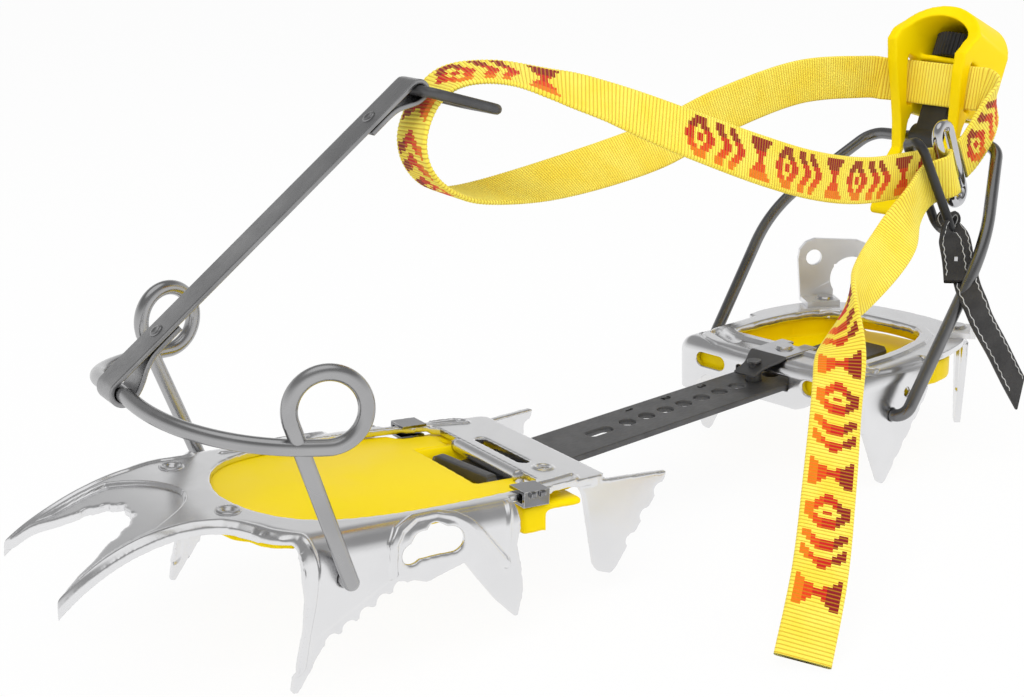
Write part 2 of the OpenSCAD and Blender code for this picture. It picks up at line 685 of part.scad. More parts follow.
module heel_lever() {
  color(yellow) lever_place() difference() {
    union() {
      translate([0, lever_half, 0]) lever_side();
      translate([0, -lever_in / 2, 0]) lever_side();
      // arched hood
      intersection() {
        translate([0, 0, lever_top - lever_half]) rotate([0, 90, 0]) difference() {
          translate([0, 0, -12.6]) cylinder(r = lever_half, h = 21.6);
          translate([0, 0, -20]) cylinder(r = lever_in / 2, h = 40);
        }
        translate([-20, -30, lever_top - lever_half]) cube([40, 60, 40]);
      }
      // back plate
      translate([6.4, -lever_half + 0.5, 9.8]) cube([2.6, 2 * lever_half - 1, 28]);
      intersection() {
        translate([6.4, 0, lever_top - lever_half]) rotate([0, 90, 0]) cylinder(r = lever_half - 0.2, h = 2.6);
        translate([0, -30, lever_top - lever_half]) cube([40, 60, 40]);
      }
      // shelf that carries the wheel
      translate([-4.8, -lever_in / 2 - 0.5, wheel_low - 2.6]) cube([12.8, lever_in + 1, 2.4]);
      // tongue that grips the boot
      translate([-13.8, -lever_half + 0.4, -16]) cube([3.4, 2 * lever_half - 0.8, 12]);
      translate([-13.8, -8.6, -31]) cube([3.4, 17.2, 16]);
      translate([-12.1, -8.6, -31]) rotate([-90, 0, 0]) cylinder(r = 1.7, h = 17.2);
    }
    // strap slots through both side walls
    translate([strap_x - 1.7, -30, strap_z - web_w / 2 - 0.8]) cube([3.4, 60, web_w + 1.6]);
    translate([0, 0, 20]) cylinder(r = screw_r + 0.5, h = 12);
  }
}

// webbing, one strap through the rings, the lever and the strap ring

slot_mid = lever_pos + [strap_x * cos(lever_lean) + strap_z * sin(lever_lean), 0,
  -strap_x * sin(lever_lean) + strap_z * cos(lever_lean)];
web_up = [sin(lever_lean), 0, cos(lever_lean)];
// bright ring, from the top of its free side to the bottom, and the way across to its fixed side
ring_top = [119.3, -28, 82.7];
ring_low = [132, -28, 54.5];
ring_over = [10.3, 1.8, 0];
// black loop, the same way
loop_top = [105.5, -32.5, 80.5];
loop_low = [125.6, -32.5, 47.2];
loop_over = [8.2, 11.2, -3.2];
ring_run = unit(ring_top - ring_low);
toe_side = [0.127, 0.99, 0];

web_drawn = [[139, -26.2, 69], [144.6, -26.1, 72], [152, -26.4, 79.4], [159, -25, 87], slot_mid + [0, -20.4, -0.6],
  slot_mid + [0, -14.6, 0], slot_mid, slot_mid + [0, 14.6, 0], slot_mid + [-4, 20, 0.6], [148, 22.8, 95],
  [111, 24.5, 95.2], [70.6, 24.5, 89.7], [32.7, 20.2, 82.8], [-18.6, 11.6, 80.5], [-54.6, 5, 82.1], [-68.6, 3.5, 86.1],
  [-76.6, 2.8, 93.6], [-78, 2.7, 102.6], [-72.8, 2.5, 111.6], [-63.6, 1.1, 117.2], [-49.6, -3, 117], [-36.6, -10.5, 112.6],
  [-23.6, -17.5, 107.2], [-0.2, -26.4, 96.1], [30.7, -29.2, 83.8], [58.1, -27.9, 75], [85, -26, 69.4], [112, -25.4, 67.8],
  [125, -24.3, 67.2], [131, -28, 66.6], [124.8, -31.7, 65.8], [115, -29.2, 63.6], [103, -32.4, 58.6], [86.3, -37, 49],
  [59.4, -45, 40.5], [45.6, -50, 36], [24, -65, 21], [2.4, -80, 2], [-19.9, -95, -15], [-38.8, -105, -31]];
web_points = [for (q = web_drawn) q + [heel_shift * max(0, min(1, (q[0] + 40) / 150)), 0, 0]];
web_sides = [ring_run, ring_run, [-0.66, 0, 0.75], [-0.4, -0.2, 0.85], [0.1, -0.2, 0.95],
  web_up, web_up, web_up, [0.3, 0, 0.93], [0.1, 0, 1],
  [0, 0.1, 1], [0, 0.25, 1], [0, 0.45, 0.9], [0, 0.8, 0.6], [0, 1, 0.2], toe_side,
  toe_side, toe_side, toe_side, [0.1, 1, 0.2], [0, 0.95, 0.35], [0, 0.85, 0.55],
  [0, 0.7, 0.75], [0, 0.4, 0.9], [0, 0.2, 1], [0, 0.1, 1], [0, 0, 1], [-0.2, 0, 1],
  ring_run, ring_run, ring_run, [-0.35, 0, 0.93], [-0.35, 0.05, 0.93], [-0.39, 0.52, 0.5],
  [-0.3, 0.1, 0.85], [0.1, -0.5, 0.85], [0.7, -0.66, -0.2], [0.72, -0.66, -0.15], [0.75, -0.64, -0.1], [0.77, -0.62, 0]];

module webbing() {
  color(yellow) ribbon(web_points, web_sides, web_w, web_t, 4);
}

module buckle_ring() {
  // bright ring that the strap turns round
  color(steel) heel_place() closed_wire([ring_low, ring_top, ring_top + ring_over, ring_low + ring_over], 4, 3.6);
}

module buckle_loop() {
  // black ring beside the bright one, with the pull tab on its lower end
  color(dark) heel_place() closed_wire([loop_low, loop_top, loop_top + loop_over, loop_low + loop_over], 3.4, 3.2);
}

tab_start = loop_low + loop_over / 2 - [0, 0, 2.8];
tab_points = [tab_start, tab_start - [1.4, 1.8, 3.4], [122.6, -33.4, 37.4], [115, -39.6, 36.8], [108.6, -46, 35.4],
  [106.4, -51.4, 33], [109, -53, 28],
  [113.6, -54.6, 20.4], [120.4, -56.5, 10], [126.2, -58.5, -0.3], [131, -59.6, -7.6]];
tab_sides = [unit(loop_over), unit(loop_over), [0.5, 0.1, 0.6], [0.2, -0.1, 0.9], [0.25, -0.35, 0.9], [0.7, -0.2, 0.6],
  [0.9, 0, 0.3], [0.88, 0, 0.42], [0.85, 0, 0.5], [0.82, 0, 0.55], [0.8, 0, 0.56]];

module pull_tab() {
  color(dark) heel_place() ribbon(tab_points, tab_sides, 9, 2, 4);
}

module tab_staple() {
  // wire staple across the tab, just below the ring
  color(steel) heel_place() translate([117.4, -37.6, 36.9]) rotate([0, 0, 39.2]) translate([0, -2.4, 0]) cube([1.6, 1.2, 6], center = true);
}

link_bar();
front_plate();
front_antiball();
front_rivets();
clip_left();
clip_right();
toe_bail();
toe_link();
link_rivets();
strap_ring();
heel_plate();
heel_antiball();
heel_post_left();
heel_post_right();
post_rivets();
lock_spring();
lock_rivet();
lock_pin();
heel_bail();
adjust_block();
heel_lever();
adjust_screw();
adjust_wheel();
webbing();
buckle_ring();
buckle_loop();
pull_tab();
tab_staple();
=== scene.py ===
import math
from functools import partial

import bpy
import numpy as np
from mathutils import Matrix, Vector


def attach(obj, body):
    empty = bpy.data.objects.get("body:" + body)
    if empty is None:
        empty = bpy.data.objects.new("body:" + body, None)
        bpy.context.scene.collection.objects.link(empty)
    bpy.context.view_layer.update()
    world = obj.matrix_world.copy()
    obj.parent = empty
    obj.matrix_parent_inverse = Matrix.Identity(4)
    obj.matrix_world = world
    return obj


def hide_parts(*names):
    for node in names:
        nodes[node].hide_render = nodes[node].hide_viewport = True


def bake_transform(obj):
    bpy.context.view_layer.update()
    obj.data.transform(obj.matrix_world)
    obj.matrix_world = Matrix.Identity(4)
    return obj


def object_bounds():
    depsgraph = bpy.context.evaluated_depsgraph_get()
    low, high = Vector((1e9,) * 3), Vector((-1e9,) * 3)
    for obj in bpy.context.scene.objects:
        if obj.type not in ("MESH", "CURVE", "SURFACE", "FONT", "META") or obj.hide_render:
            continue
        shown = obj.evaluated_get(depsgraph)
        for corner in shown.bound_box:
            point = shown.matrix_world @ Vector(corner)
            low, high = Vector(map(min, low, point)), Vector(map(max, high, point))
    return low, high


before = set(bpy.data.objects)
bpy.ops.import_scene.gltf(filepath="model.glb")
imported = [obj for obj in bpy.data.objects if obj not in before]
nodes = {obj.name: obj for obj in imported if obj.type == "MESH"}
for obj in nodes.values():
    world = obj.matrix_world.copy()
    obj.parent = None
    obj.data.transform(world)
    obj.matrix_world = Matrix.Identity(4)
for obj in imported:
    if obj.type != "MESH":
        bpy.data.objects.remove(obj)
cad_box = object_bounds()
MM = 0.001
scene = bpy.context.scene
scene.view_settings.view_transform = "Standard"


# camera

CAMERA_PLACE = (-0.33288, -0.34330, 0.16929)
CAMERA_ANGLES = (-39.47, 17.06, -2.07)
CAMERA_LENS, CAMERA_SHIFT = 55.10, (0.0069, 0.00945)


def place_camera():
    """Camera of the photograph, from its turn, rise and roll in degrees."""
    turn, rise, roll = (math.radians(angle) for angle in CAMERA_ANGLES)
    back = Vector((math.sin(turn) * math.cos(rise), -math.cos(turn) * math.cos(rise), math.sin(rise)))
    right = (-back).cross(Vector((0, 0, 1))).normalized()
    up = right.cross(-back)
    c, s = math.cos(roll), math.sin(roll)
    side, top = c * right + s * up, c * up - s * right
    data = bpy.data.cameras.new("view")
    data.lens = CAMERA_LENS
    data.shift_x, data.shift_y = CAMERA_SHIFT
    data.clip_start, data.clip_end = 0.01, 60
    camera = bpy.data.objects.new("view", data)
    scene.collection.objects.link(camera)
    place = Matrix((side, top, back)).transposed().to_4x4()
    place.translation = CAMERA_PLACE
    camera.matrix_world = place
    scene.camera = camera


place_camera()


# shader helpers

def add_node(tree, kind, inputs=None, **settings):
    """New shader node; an input is a value or the socket that feeds it."""
    made = tree.nodes.new(kind)
    for key, value in settings.items():
        setattr(made, key, value)
    for key, value in (inputs or {}).items():
        if isinstance(value, bpy.types.NodeSocket):
            tree.links.new(value, made.inputs[key])
        else:
            made.inputs[key].default_value = value
    return made


def calc(tree, operation, a, b=0.0, c=0.0, clamp=False):
    made = add_node(tree, "ShaderNodeMath", {0: a, 1: b, 2: c}, operation=operation, use_clamp=clamp)
    return made.outputs[0]


def mix_colour(tree, factor, a, b):
    made = add_node(tree, "ShaderNodeMix", {0: factor, 6: a, 7: b}, data_type="RGBA")
    return made.outputs[2]


def ramp(tree, value, low, high, out_low=0.0, out_high=1.0):
    made = add_node(tree, "ShaderNodeMapRange", {0: value, 1: low, 2: high, 3: out_low, 4: out_high})
    return made.outputs[0]


def colour_bands(tree, value, bands, interpolation="LINEAR"):
    """Colour ramp from (place, colour) pairs."""
    made = add_node(tree, "ShaderNodeValToRGB", {0: value})
    made.color_ramp.interpolation = interpolation
    while len(made.color_ramp.elements) < len(bands):
        made.color_ramp.elements.new(0.5)
    for element, (place, colour) in zip(made.color_ramp.elements, bands):
        element.position, element.color = place, (*colour, 1)
    return made.outputs[0]


def new_group(name, inputs, outputs):
    tree = bpy.data.node_groups.new(name, "ShaderNodeTree")
    for label, value in inputs.items():
        made = tree.interface.new_socket(label, in_out="INPUT", socket_type="NodeSocketFloat")
        made.default_value = value
    for label in outputs:
        tree.interface.new_socket(label, in_out="OUTPUT", socket_type="NodeSocketFloat")
    start, end = tree.nodes.new("NodeGroupInput"), tree.nodes.new("NodeGroupOutput")
    return tree, start.outputs, end.inputs


def surface_grain_group():
    """Fine grain and broad clouds; Stretch below 1 draws the grain out along X."""
    tree, given, out = new_group("surface_grain", {"Scale": 400.0, "Stretch": 1.0}, ("Grain", "Cloud"))
    place = add_node(tree, "ShaderNodeTexCoord").outputs["Object"]
    apart = add_node(tree, "ShaderNodeSeparateXYZ", {0: place}).outputs
    along = calc(tree, "MULTIPLY", apart[0], given["Stretch"])
    drawn = add_node(tree, "ShaderNodeCombineXYZ", {0: along, 1: apart[1], 2: apart[2]}).outputs[0]
    fine = add_node(tree, "ShaderNodeTexNoise", {"Vector": drawn, "Scale": given["Scale"], "Detail": 4.0})
    broad = calc(tree, "MULTIPLY", given["Scale"], 0.06)
    wide = add_node(tree, "ShaderNodeTexNoise", {"Vector": place, "Scale": broad, "Detail": 3.0})
    tree.links.new(fine.outputs[0], out["Grain"])
    tree.links.new(ramp(tree, wide.outputs[0], 0.35, 0.65), out["Cloud"])
    return tree


def edge_wear_and_highlight_group():
    """Mask of the sharp edges of a solid, in patches, for edge wear and painted edge highlight."""
    tree, given, out = new_group("edge_wear_and_highlight", {"Radius": 0.0006}, ("Edge",))
    soft = add_node(tree, "ShaderNodeBevel", {"Radius": given["Radius"]}, samples=6).outputs[0]
    true = add_node(tree, "ShaderNodeNewGeometry").outputs["Normal"]
    normals = {0: soft, 1: true}
    same = add_node(tree, "ShaderNodeVectorMath", normals, operation="DOT_PRODUCT").outputs["Value"]
    place = add_node(tree, "ShaderNodeTexCoord").outputs["Object"]
    patch = add_node(tree, "ShaderNodeTexNoise", {"Vector": place, "Scale": 900.0, "Detail": 3.0}).outputs[0]
    worn_and_highlit = calc(tree, "MULTIPLY", ramp(tree, same, 0.985, 0.86), ramp(tree, patch, 0.25, 0.6))
    tree.links.new(worn_and_highlit, out["Edge"])
    return tree


def painted_crease_shade_group():
    """Mask of the hollow creases of a pressed sheet, from pointiness, where shade is painted."""
    tree, _, out = new_group("painted_crease_shade", {}, ("Painted_shade",))
    bent = add_node(tree, "ShaderNodeNewGeometry").outputs["Pointiness"]
    tree.links.new(ramp(tree, bent, 0.47, 0.37), out["Painted_shade"])
    return tree


grain_group = surface_grain_group()
wear_and_highlight_group = edge_wear_and_highlight_group()
crease_shade_group = painted_crease_shade_group()


def use_group(tree, group, **values):
    made = add_node(tree, "ShaderNodeGroup", node_tree=group)
    for key, value in values.items():
        made.inputs[key].default_value = value
    return made.outputs


def new_material(name):
    made = bpy.data.materials.new(name)
    made.use_nodes = True
    return made, made.node_tree, made.node_tree.nodes["Principled BSDF"]


def add_bump(tree, shader, height, strength, depth):
    lift = add_node(tree, "ShaderNodeBump", {"Height": height, "Strength": strength, "Distance": depth})
    tree.links.new(lift.outputs[0], shader.inputs["Normal"])


def finish(name, light, deep, metal, smooth, rough, scale, stretch=1.0, bump=0.0, depth=0.00004,
           worn_and_highlit=None, edge_strength=0.0, radius=0.0006, crease_shade_colour=None, specular=0.5):
    """A solid finish: two shades, a roughness range, surface grain, edge wear with painted highlight, or
    painted shade in creases.
    """
    made, tree, shader = new_material(name)
    grain = use_group(tree, grain_group, Scale=scale, Stretch=stretch)
    shade = mix_colour(tree, grain["Cloud"], (*deep, 1), (*light, 1))
    if crease_shade_colour:
        # painted shade: the colour darkens in the hollow creases of the sheet
        fold = use_group(tree, crease_shade_group)
        shade = mix_colour(tree, calc(tree, "MULTIPLY", fold["Painted_shade"], 0.75), shade, (*crease_shade_colour, 1))
    if worn_and_highlit:
        # lighter edges: partly wear, partly painted highlight
        edge = use_group(tree, wear_and_highlight_group, Radius=radius)
        shade = mix_colour(tree, calc(tree, "MULTIPLY", edge["Edge"], edge_strength), shade, (*worn_and_highlit, 1))
    tree.links.new(shade, shader.inputs["Base Color"])
    spread = grain["Grain" if bump else "Cloud"]
    tree.links.new(ramp(tree, spread, 0.3, 0.7, smooth, rough), shader.inputs["Roughness"])
    if bump:
        add_bump(tree, shader, grain["Grain"], bump, depth)
    shader.inputs["Metallic"].default_value = metal
    shader.inputs["Specular IOR Level"].default_value = specular
    return made


# plate steel: painted shade darkens its creases
plate_steel = finish("plate_steel", (0.80, 0.80, 0.81), (0.76, 0.76, 0.77), 1.0, 0.20, 0.26, 1200,
                     crease_shade_colour=(0.40, 0.40, 0.41))
post_steel = finish("post_steel", (0.90, 0.90, 0.91), (0.86, 0.86, 0.87), 1.0, 0.36, 0.42, 1200)
rivet_steel = finish("rivet_steel", (0.66, 0.66, 0.67), (0.56, 0.56, 0.57), 1.0, 0.18, 0.28, 900)
spring_chrome = finish("spring_chrome", (0.62, 0.62, 0.63), (0.50, 0.50, 0.52), 1.0, 0.07, 0.14, 900)
# clips: the dark colour is a painted dark reflection of the chrome, and the light edges a painted highlight
clip_chrome = finish("clip_chrome", (0.26, 0.26, 0.27), (0.20, 0.20, 0.21), 1.0, 0.10, 0.18, 900,
                     worn_and_highlit=(0.90, 0.90, 0.90), edge_strength=0.6, radius=0.0005)
wire_steel = finish("wire_steel", (0.44, 0.44, 0.445), (0.38, 0.38, 0.385), 1.0, 0.20, 0.30, 900)
heel_wire = finish("heel_wire", (0.23, 0.23, 0.233), (0.18, 0.18, 0.183), 1.0, 0.22, 0.32, 900)
# bar: lighter edges, partly wear and partly painted highlight
dark_steel = finish("dark_steel", (0.115, 0.115, 0.118), (0.085, 0.085, 0.088), 0.6, 0.34, 0.46, 1600,
                    stretch=0.25, bump=0.06, depth=0.00005, worn_and_highlit=(0.36, 0.36, 0.36), edge_strength=0.5, radius=0.0004)
# toe link: its light edges are a painted highlight
link_steel = finish("link_steel", (0.36, 0.36, 0.365), (0.27, 0.27, 0.275), 1.0, 0.24, 0.36, 1300,
                    stretch=0.5, bump=0.04, worn_and_highlit=(0.85, 0.85, 0.85), edge_strength=0.8, radius=0.0004)
yellow_plastic = finish("yellow_plastic", (1.0, 0.765, 0.0), (1.0, 0.735, 0.0), 0.0, 0.36, 0.46, 500,
                        specular=0.12)
black_plastic = finish("black_plastic", (0.024, 0.024, 0.026), (0.015, 0.015, 0.016), 0.0, 0.34, 0.48, 1600,
                       bump=0.08)
screw_steel = finish("screw_steel", (0.10, 0.10, 0.105), (0.06, 0.06, 0.065), 0.8, 0.30, 0.42, 900, bump=0.1)
black_leather = finish("black_leather", (0.040, 0.038, 0.037), (0.020, 0.019, 0.019), 0.0, 0.46, 0.66, 1500,
                       bump=0.5, depth=0.00015)
stitch_thread = finish("stitch_thread", (0.62, 0.62, 0.61), (0.45, 0.45, 0.44), 0.0, 0.6, 0.8, 2600,
                       bump=0.5, depth=0.0001)
stamped_mark = finish("stamped_mark", (0.020, 0.020, 0.021), (0.012, 0.012, 0.013), 0.5, 0.4, 0.55, 900,
                      bump=0.15)

# length of one rib of the weave and of one figure, rows across the strap, and start and count of the figures
WEAVE, MOTIF, ROWS = 1.2 * MM, 13.2 * MM, 12
MOTIF_GROUPS = ((0.0010, 2), (0.2976, 6), (0.4150, 10), (0.6400, 9))
MOTIF_SHADES = ((0.0, (0.27, 0.007, 0.013)), (0.30, (0.62, 0.012, 0.010)), (0.55, (0.80, 0.055, 0.008)),
                (0.75, (0.90, 0.20, 0.008)))


def inside(tree, value, low, high):
    above, below = calc(tree, "GREATER_THAN", value, low), calc(tree, "LESS_THAN", value, high)
    return calc(tree, "MULTIPLY", above, below)


def motif_colour(tree, along, over, plain):
    """Stepped figures in groups along the strap, from dark red at one edge to orange at the other."""
    do = partial(calc, tree)
    step = do("MULTIPLY", do("FLOOR", do("DIVIDE", along, WEAVE)), WEAVE)
    band = do("ADD", do("FLOOR", do("MULTIPLY", over, float(ROWS))), 0.5)
    row = do("DIVIDE", band, ROWS / 2)
    height = do("ABSOLUTE", do("SUBTRACT", row, 1.0))
    shown, local = 0.0, 0.0
    for start, count in MOTIF_GROUPS:
        within = inside(tree, step, start, start + count * MOTIF)
        shown = do("ADD", shown, within)
        past = do("SUBTRACT", step, start)
        local = do("ADD", local, do("MULTIPLY", within, past))
    count = do("DIVIDE", local, MOTIF)
    kind = do("MODULO", do("FLOOR", count), 3.0)
    cell = do("SUBTRACT", do("MULTIPLY", do("FRACT", count), 2.0), 1.0)
    reach = do("ABSOLUTE", cell)
    ring = do("ADD", reach, do("MULTIPLY", height, 0.85))
    diamond = do("MAXIMUM", inside(tree, ring, 0.46, 0.98), do("LESS_THAN", ring, 0.2))
    slope = do("ADD", cell, do("MULTIPLY", height, 0.9))
    chevron = do("MAXIMUM", inside(tree, slope, -0.45, 0.10), inside(tree, slope, 0.45, 0.95))
    pinched = do("ADD", do("MULTIPLY", height, 0.8), 0.14)
    waist, ends = do("LESS_THAN", reach, pinched), do("LESS_THAN", reach, 0.8)
    glass = do("MULTIPLY", waist, ends)
    figure = 0.0
    for number, shape in enumerate((diamond, chevron, glass)):
        chosen = do("COMPARE", kind, float(number), 0.2)
        figure = do("ADD", figure, do("MULTIPLY", shape, chosen))
    off_edge = do("LESS_THAN", height, 0.88)
    figure = do("MULTIPLY", do("MULTIPLY", figure, shown), off_edge)
    from_edge = do("SUBTRACT", 1.0, do("DIVIDE", row, 2.0))
    return mix_colour(tree, figure, plain, colour_bands(tree, from_edge, MOTIF_SHADES, "CONSTANT"))


def webbing_finish(name, figured):
    """Ribbed webbing, with or without the figures, with painted shade between its ribs."""
    made, tree, shader = new_material(name)
    place = add_node(tree, "ShaderNodeUVMap", uv_map="strap").outputs[0]
    along, over, _ = add_node(tree, "ShaderNodeSeparateXYZ", {0: place}).outputs
    grain = use_group(tree, grain_group, Scale=1500.0)
    plain = mix_colour(tree, grain["Cloud"], (0.98, 0.80, 0.07, 1), (1.0, 0.87, 0.12, 1))
    if figured:
        plain = motif_colour(tree, along, over, plain)
    # painted shade: the colour darkens towards brown in the valleys between the ribs of the weave
    phase = calc(tree, "COSINE", calc(tree, "MULTIPLY", along, 2 * math.pi / WEAVE))
    plain = mix_colour(tree, ramp(tree, phase, -0.2, -1.0, 0.0, 0.7), plain, (0.60, 0.30, 0.004, 1))
    threads = calc(tree, "COSINE", calc(tree, "MULTIPLY", over, 2 * math.pi * 26))
    fuzz = calc(tree, "MULTIPLY", grain["Grain"], 0.3)
    weave = calc(tree, "ADD", calc(tree, "MULTIPLY", threads, 0.3), fuzz)
    tree.links.new(plain, shader.inputs["Base Color"])
    add_bump(tree, shader, weave, 0.5, 0.00012)
    tree.links.new(ramp(tree, grain["Grain"], 0.3, 0.7, 0.62, 0.82), shader.inputs["Roughness"])
    shader.inputs["Sheen Weight"].default_value = 0.15
    shader.inputs["Specular IOR Level"].default_value = 0.25
    return made


web_figured = webbing_finish("webbing_figured", True)
web_plain = webbing_finish("webbing_plain", False)


# studio

FLOOR_WHITE, FLOOR_REACH, FLOOR_GAP = 0.94, 9.0, 0.0003
SKY_BANDS = ((0.0, 1.0), (0.08, 0.94), (0.20, 0.84), (0.36, 0.72), (0.55, 0.34), (0.86, 0.30), (0.92, 1.0),
             (1.0, 1.0))
# name, place, aim, size and watts
LAMPS = (("key", (-0.9, -0.6, 1.5), (0.02, 0, 0.02), 1.6, 19.0),
         ("fill", (1.1, -0.9, 1.0), (0.05, 0, 0.03), 1.2, 6.0))


def floor_finish():
    """White floor that keeps a pale shadow and shows as white to the camera and in the metal."""
    made, tree, shader = new_material("floor")
    grain = use_group(tree, grain_group, Scale=60.0)
    shade = mix_colour(tree, grain["Cloud"], (0.95, 0.95, 0.95, 1), (0.96, 0.96, 0.96, 1))
    tree.links.new(shade, shader.inputs["Base Color"])
    shader.inputs["Roughness"].default_value = 0.9
    shader.inputs["Specular IOR Level"].default_value = 0.0
    ray = add_node(tree, "ShaderNodeLightPath").outputs
    seen = calc(tree, "ADD", ray["Is Camera Ray"], ray["Is Glossy Ray"])
    seen = calc(tree, "ADD", seen, ray["Is Transmission Ray"], clamp=True)
    white = add_node(tree, "ShaderNodeEmission").outputs[0]
    share = calc(tree, "MULTIPLY", seen, FLOOR_WHITE)
    both = add_node(tree, "ShaderNodeMixShader", {0: share, 1: shader.outputs[0], 2: white})
    tree.links.new(both.outputs[0], tree.nodes["Material Output"].inputs[0])
    return made


def studio():
    """White floor, a sky that is bright at the horizon and overhead, and two soft lamps."""
    data = bpy.data.meshes.new("floor")
    level = cad_box[0][2] - FLOOR_GAP
    spots = [(x * FLOOR_REACH, y * FLOOR_REACH, level) for x, y in ((-1, -1), (1, -1), (1, 1), (-1, 1))]
    data.from_pydata(spots, [], [(0, 1, 2, 3)])
    data.materials.append(floor_finish())
    floor = bpy.data.objects.new("floor", data)
    scene.collection.objects.link(floor)
    world = bpy.data.worlds.new("studio")
    scene.world = world
    world.use_nodes = True
    tree = world.node_tree
    ray = add_node(tree, "ShaderNodeTexCoord").outputs["Generated"]
    height = add_node(tree, "ShaderNodeSeparateXYZ", {0: ray}).outputs[2]
    sky = colour_bands(tree, height, [(place, (value,) * 3) for place, value in SKY_BANDS])
    tree.links.new(sky, tree.nodes["Background"].inputs[0])
    for name, spot, aim, size, watts in LAMPS:
        lamp = bpy.data.lights.new(name, "AREA")
        lamp.size, lamp.energy = size, watts
        holder = bpy.data.objects.new(name, lamp)
        holder.location = spot
        holder.rotation_euler = (Vector(aim) - Vector(spot)).to_track_quat("-Z", "Y").to_euler()
        holder.visible_glossy = False
        scene.collection.objects.link(holder)


studio()


# mesh helpers

def show(name, data, body, materials, stands_for=()):
    """Adds a mesh to the scene as a piece that rides on a body."""
    data.name = name
    data.materials.clear()
    for made in materials:
        data.materials.append(made)
    piece = bpy.data.objects.new(name, data)
    scene.collection.objects.link(piece)
    if body:
        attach(piece, body)
    for node in stands_for:
        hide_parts(node)
    return piece


def new_mesh(name, place, faces):
    data = bpy.data.meshes.new(name)
    data.from_pydata(place, [], faces)
    return data


def corners(data):
    flat = np.empty(len(data.vertices) * 3)
    data.vertices.foreach_get("co", flat)
    return flat.reshape(-1, 3)


def set_corners(data, place):
    data.vertices.foreach_set("co", np.ascontiguousarray(place).ravel())
    data.update()


def smooth_faces(data):
    data.polygons.foreach_set("use_smooth", np.ones(len(data.polygons), bool))
    data.update()
    return data


def softened(node, voxel, rounds, shape=None):
    """The node's mesh with its edges rounded over, then pressed by shape()."""
    data = nodes[node].data.copy()
    work = bpy.data.objects.new("work", data)
    scene.collection.objects.link(work)
    data.transform(nodes[node].matrix_world)
    weld = work.modifiers.new("weld", "WELD")
    weld.merge_threshold = 1e-6
    grid = work.modifiers.new("grid", "REMESH")
    grid.mode, grid.voxel_size, grid.use_smooth_shade = "VOXEL", voxel, True
    ease_edges = work.modifiers.new("ease_edges", "SMOOTH")
    ease_edges.factor, ease_edges.iterations = 0.5, rounds
    made = bpy.data.meshes.new_from_object(work.evaluated_get(bpy.context.evaluated_depsgraph_get()))
    bpy.data.objects.remove(work)
    bpy.data.meshes.remove(data)
    if shape:
        set_corners(made, shape(corners(made)))
    return smooth_faces(made)


def form(name, node, voxel, rounds, shape, body, made):
    """Piece made from a softened node, which it stands for."""
    show(name, softened(node, voxel, rounds, shape), body, [made], (node,))


def ease_more(data, place, chosen, rounds):
    """Further rounds of smoothing for the chosen corners of a mesh."""
    ends = np.empty(len(data.edges) * 2, int)
    data.edges.foreach_get("vertices", ends)
    ends = ends.reshape(-1, 2)
    a, b = ends[chosen[ends].any(axis=1)].T
    size = len(place)
    count = np.bincount(a, minlength=size) + np.bincount(b, minlength=size)
    for _ in range(rounds):
        for k in range(3):
            total = np.bincount(a, place[b, k], size) + np.bincount(b, place[a, k], size)
            place[chosen, k] = (place[chosen, k] + total[chosen] / count[chosen]) / 2
    return place


def path_distance(flat, path):
    """Distance of 2-D points from a polyline."""
    best = np.full(len(flat), 1e9)
    path = np.array(path, float)
    for a, b in zip(path[:-1], path[1:]):
        run = b - a
        t = np.clip(((flat - a) @ run) / (run @ run), 0, 1)
        best = np.minimum(best, np.linalg.norm(flat - a - t[:, None] * run, axis=1))
    return best


def ease(value, low, high):
    """Smooth step from 0 at low to 1 at high."""
    t = np.clip((value - low) / (high - low), 0, 1)
    return t * t * (3 - 2 * t)


def rib(distance, half, soft):
    """1 within half of a line, falling to 0 over a soft edge."""
    return 1 - ease(distance, half - soft, half + soft)


def ribs(flat, rows):
    """Height of all the ribs, given as (path, height, half width, softness) rows."""
    return sum(height * rib(path_distance(flat, path), half, soft) for path, height, half, soft in rows)


def turn_matrix(degrees, axis):
    return np.array(Matrix.Rotation(math.radians(degrees), 3, axis))


def unit(rows):
    """One direction, or rows of them, at length 1."""
    rows = np.array(rows, float)
    return rows / np.linalg.norm(rows, axis=-1)[..., None]


def ring_faces(first, rows, sides):
    """Faces between rings of corners that lie one above the other, and a cap at each end."""
    faces = []
    for i in range(rows - 1):
        low, high = first + i * sides, first + (i + 1) * sides
        for k in range(sides):
            n = (k + 1) % sides
            faces.append((low + k, low + n, high + n, high + k))
    faces.append(tuple(first + (rows - 1) * sides + k for k in range(sides)))
    faces.append(tuple(first + k for k in reversed(range(sides))))
    return faces


def tubes(paths, radius, sides):
    """Round threads along open paths, closed at their ends."""
    place, faces = [], []
    angle = np.arange(sides) * 2 * math.pi / sides
    for path in paths:
        path = np.array(path, float)
        run = unit(np.gradient(path, axis=0))
        help_row = np.where(np.abs(run[:, 2:3]) < 0.9, [[0.0, 0.0, 1.0]], [[1.0, 0.0, 0.0]])
        a = unit(np.cross(run, help_row))
        b = np.cross(run, a)
        first = len(place)
        for point, x, y in zip(path, a, b):
            place += [tuple(point + radius * (math.cos(t) * x + math.sin(t) * y)) for t in angle]
        # laid the other way round than the faces of a turned head
        faces += [face[::-1] for face in ring_faces(first, len(path), sides)]
    return smooth_faces(new_mesh("tubes", place, faces))


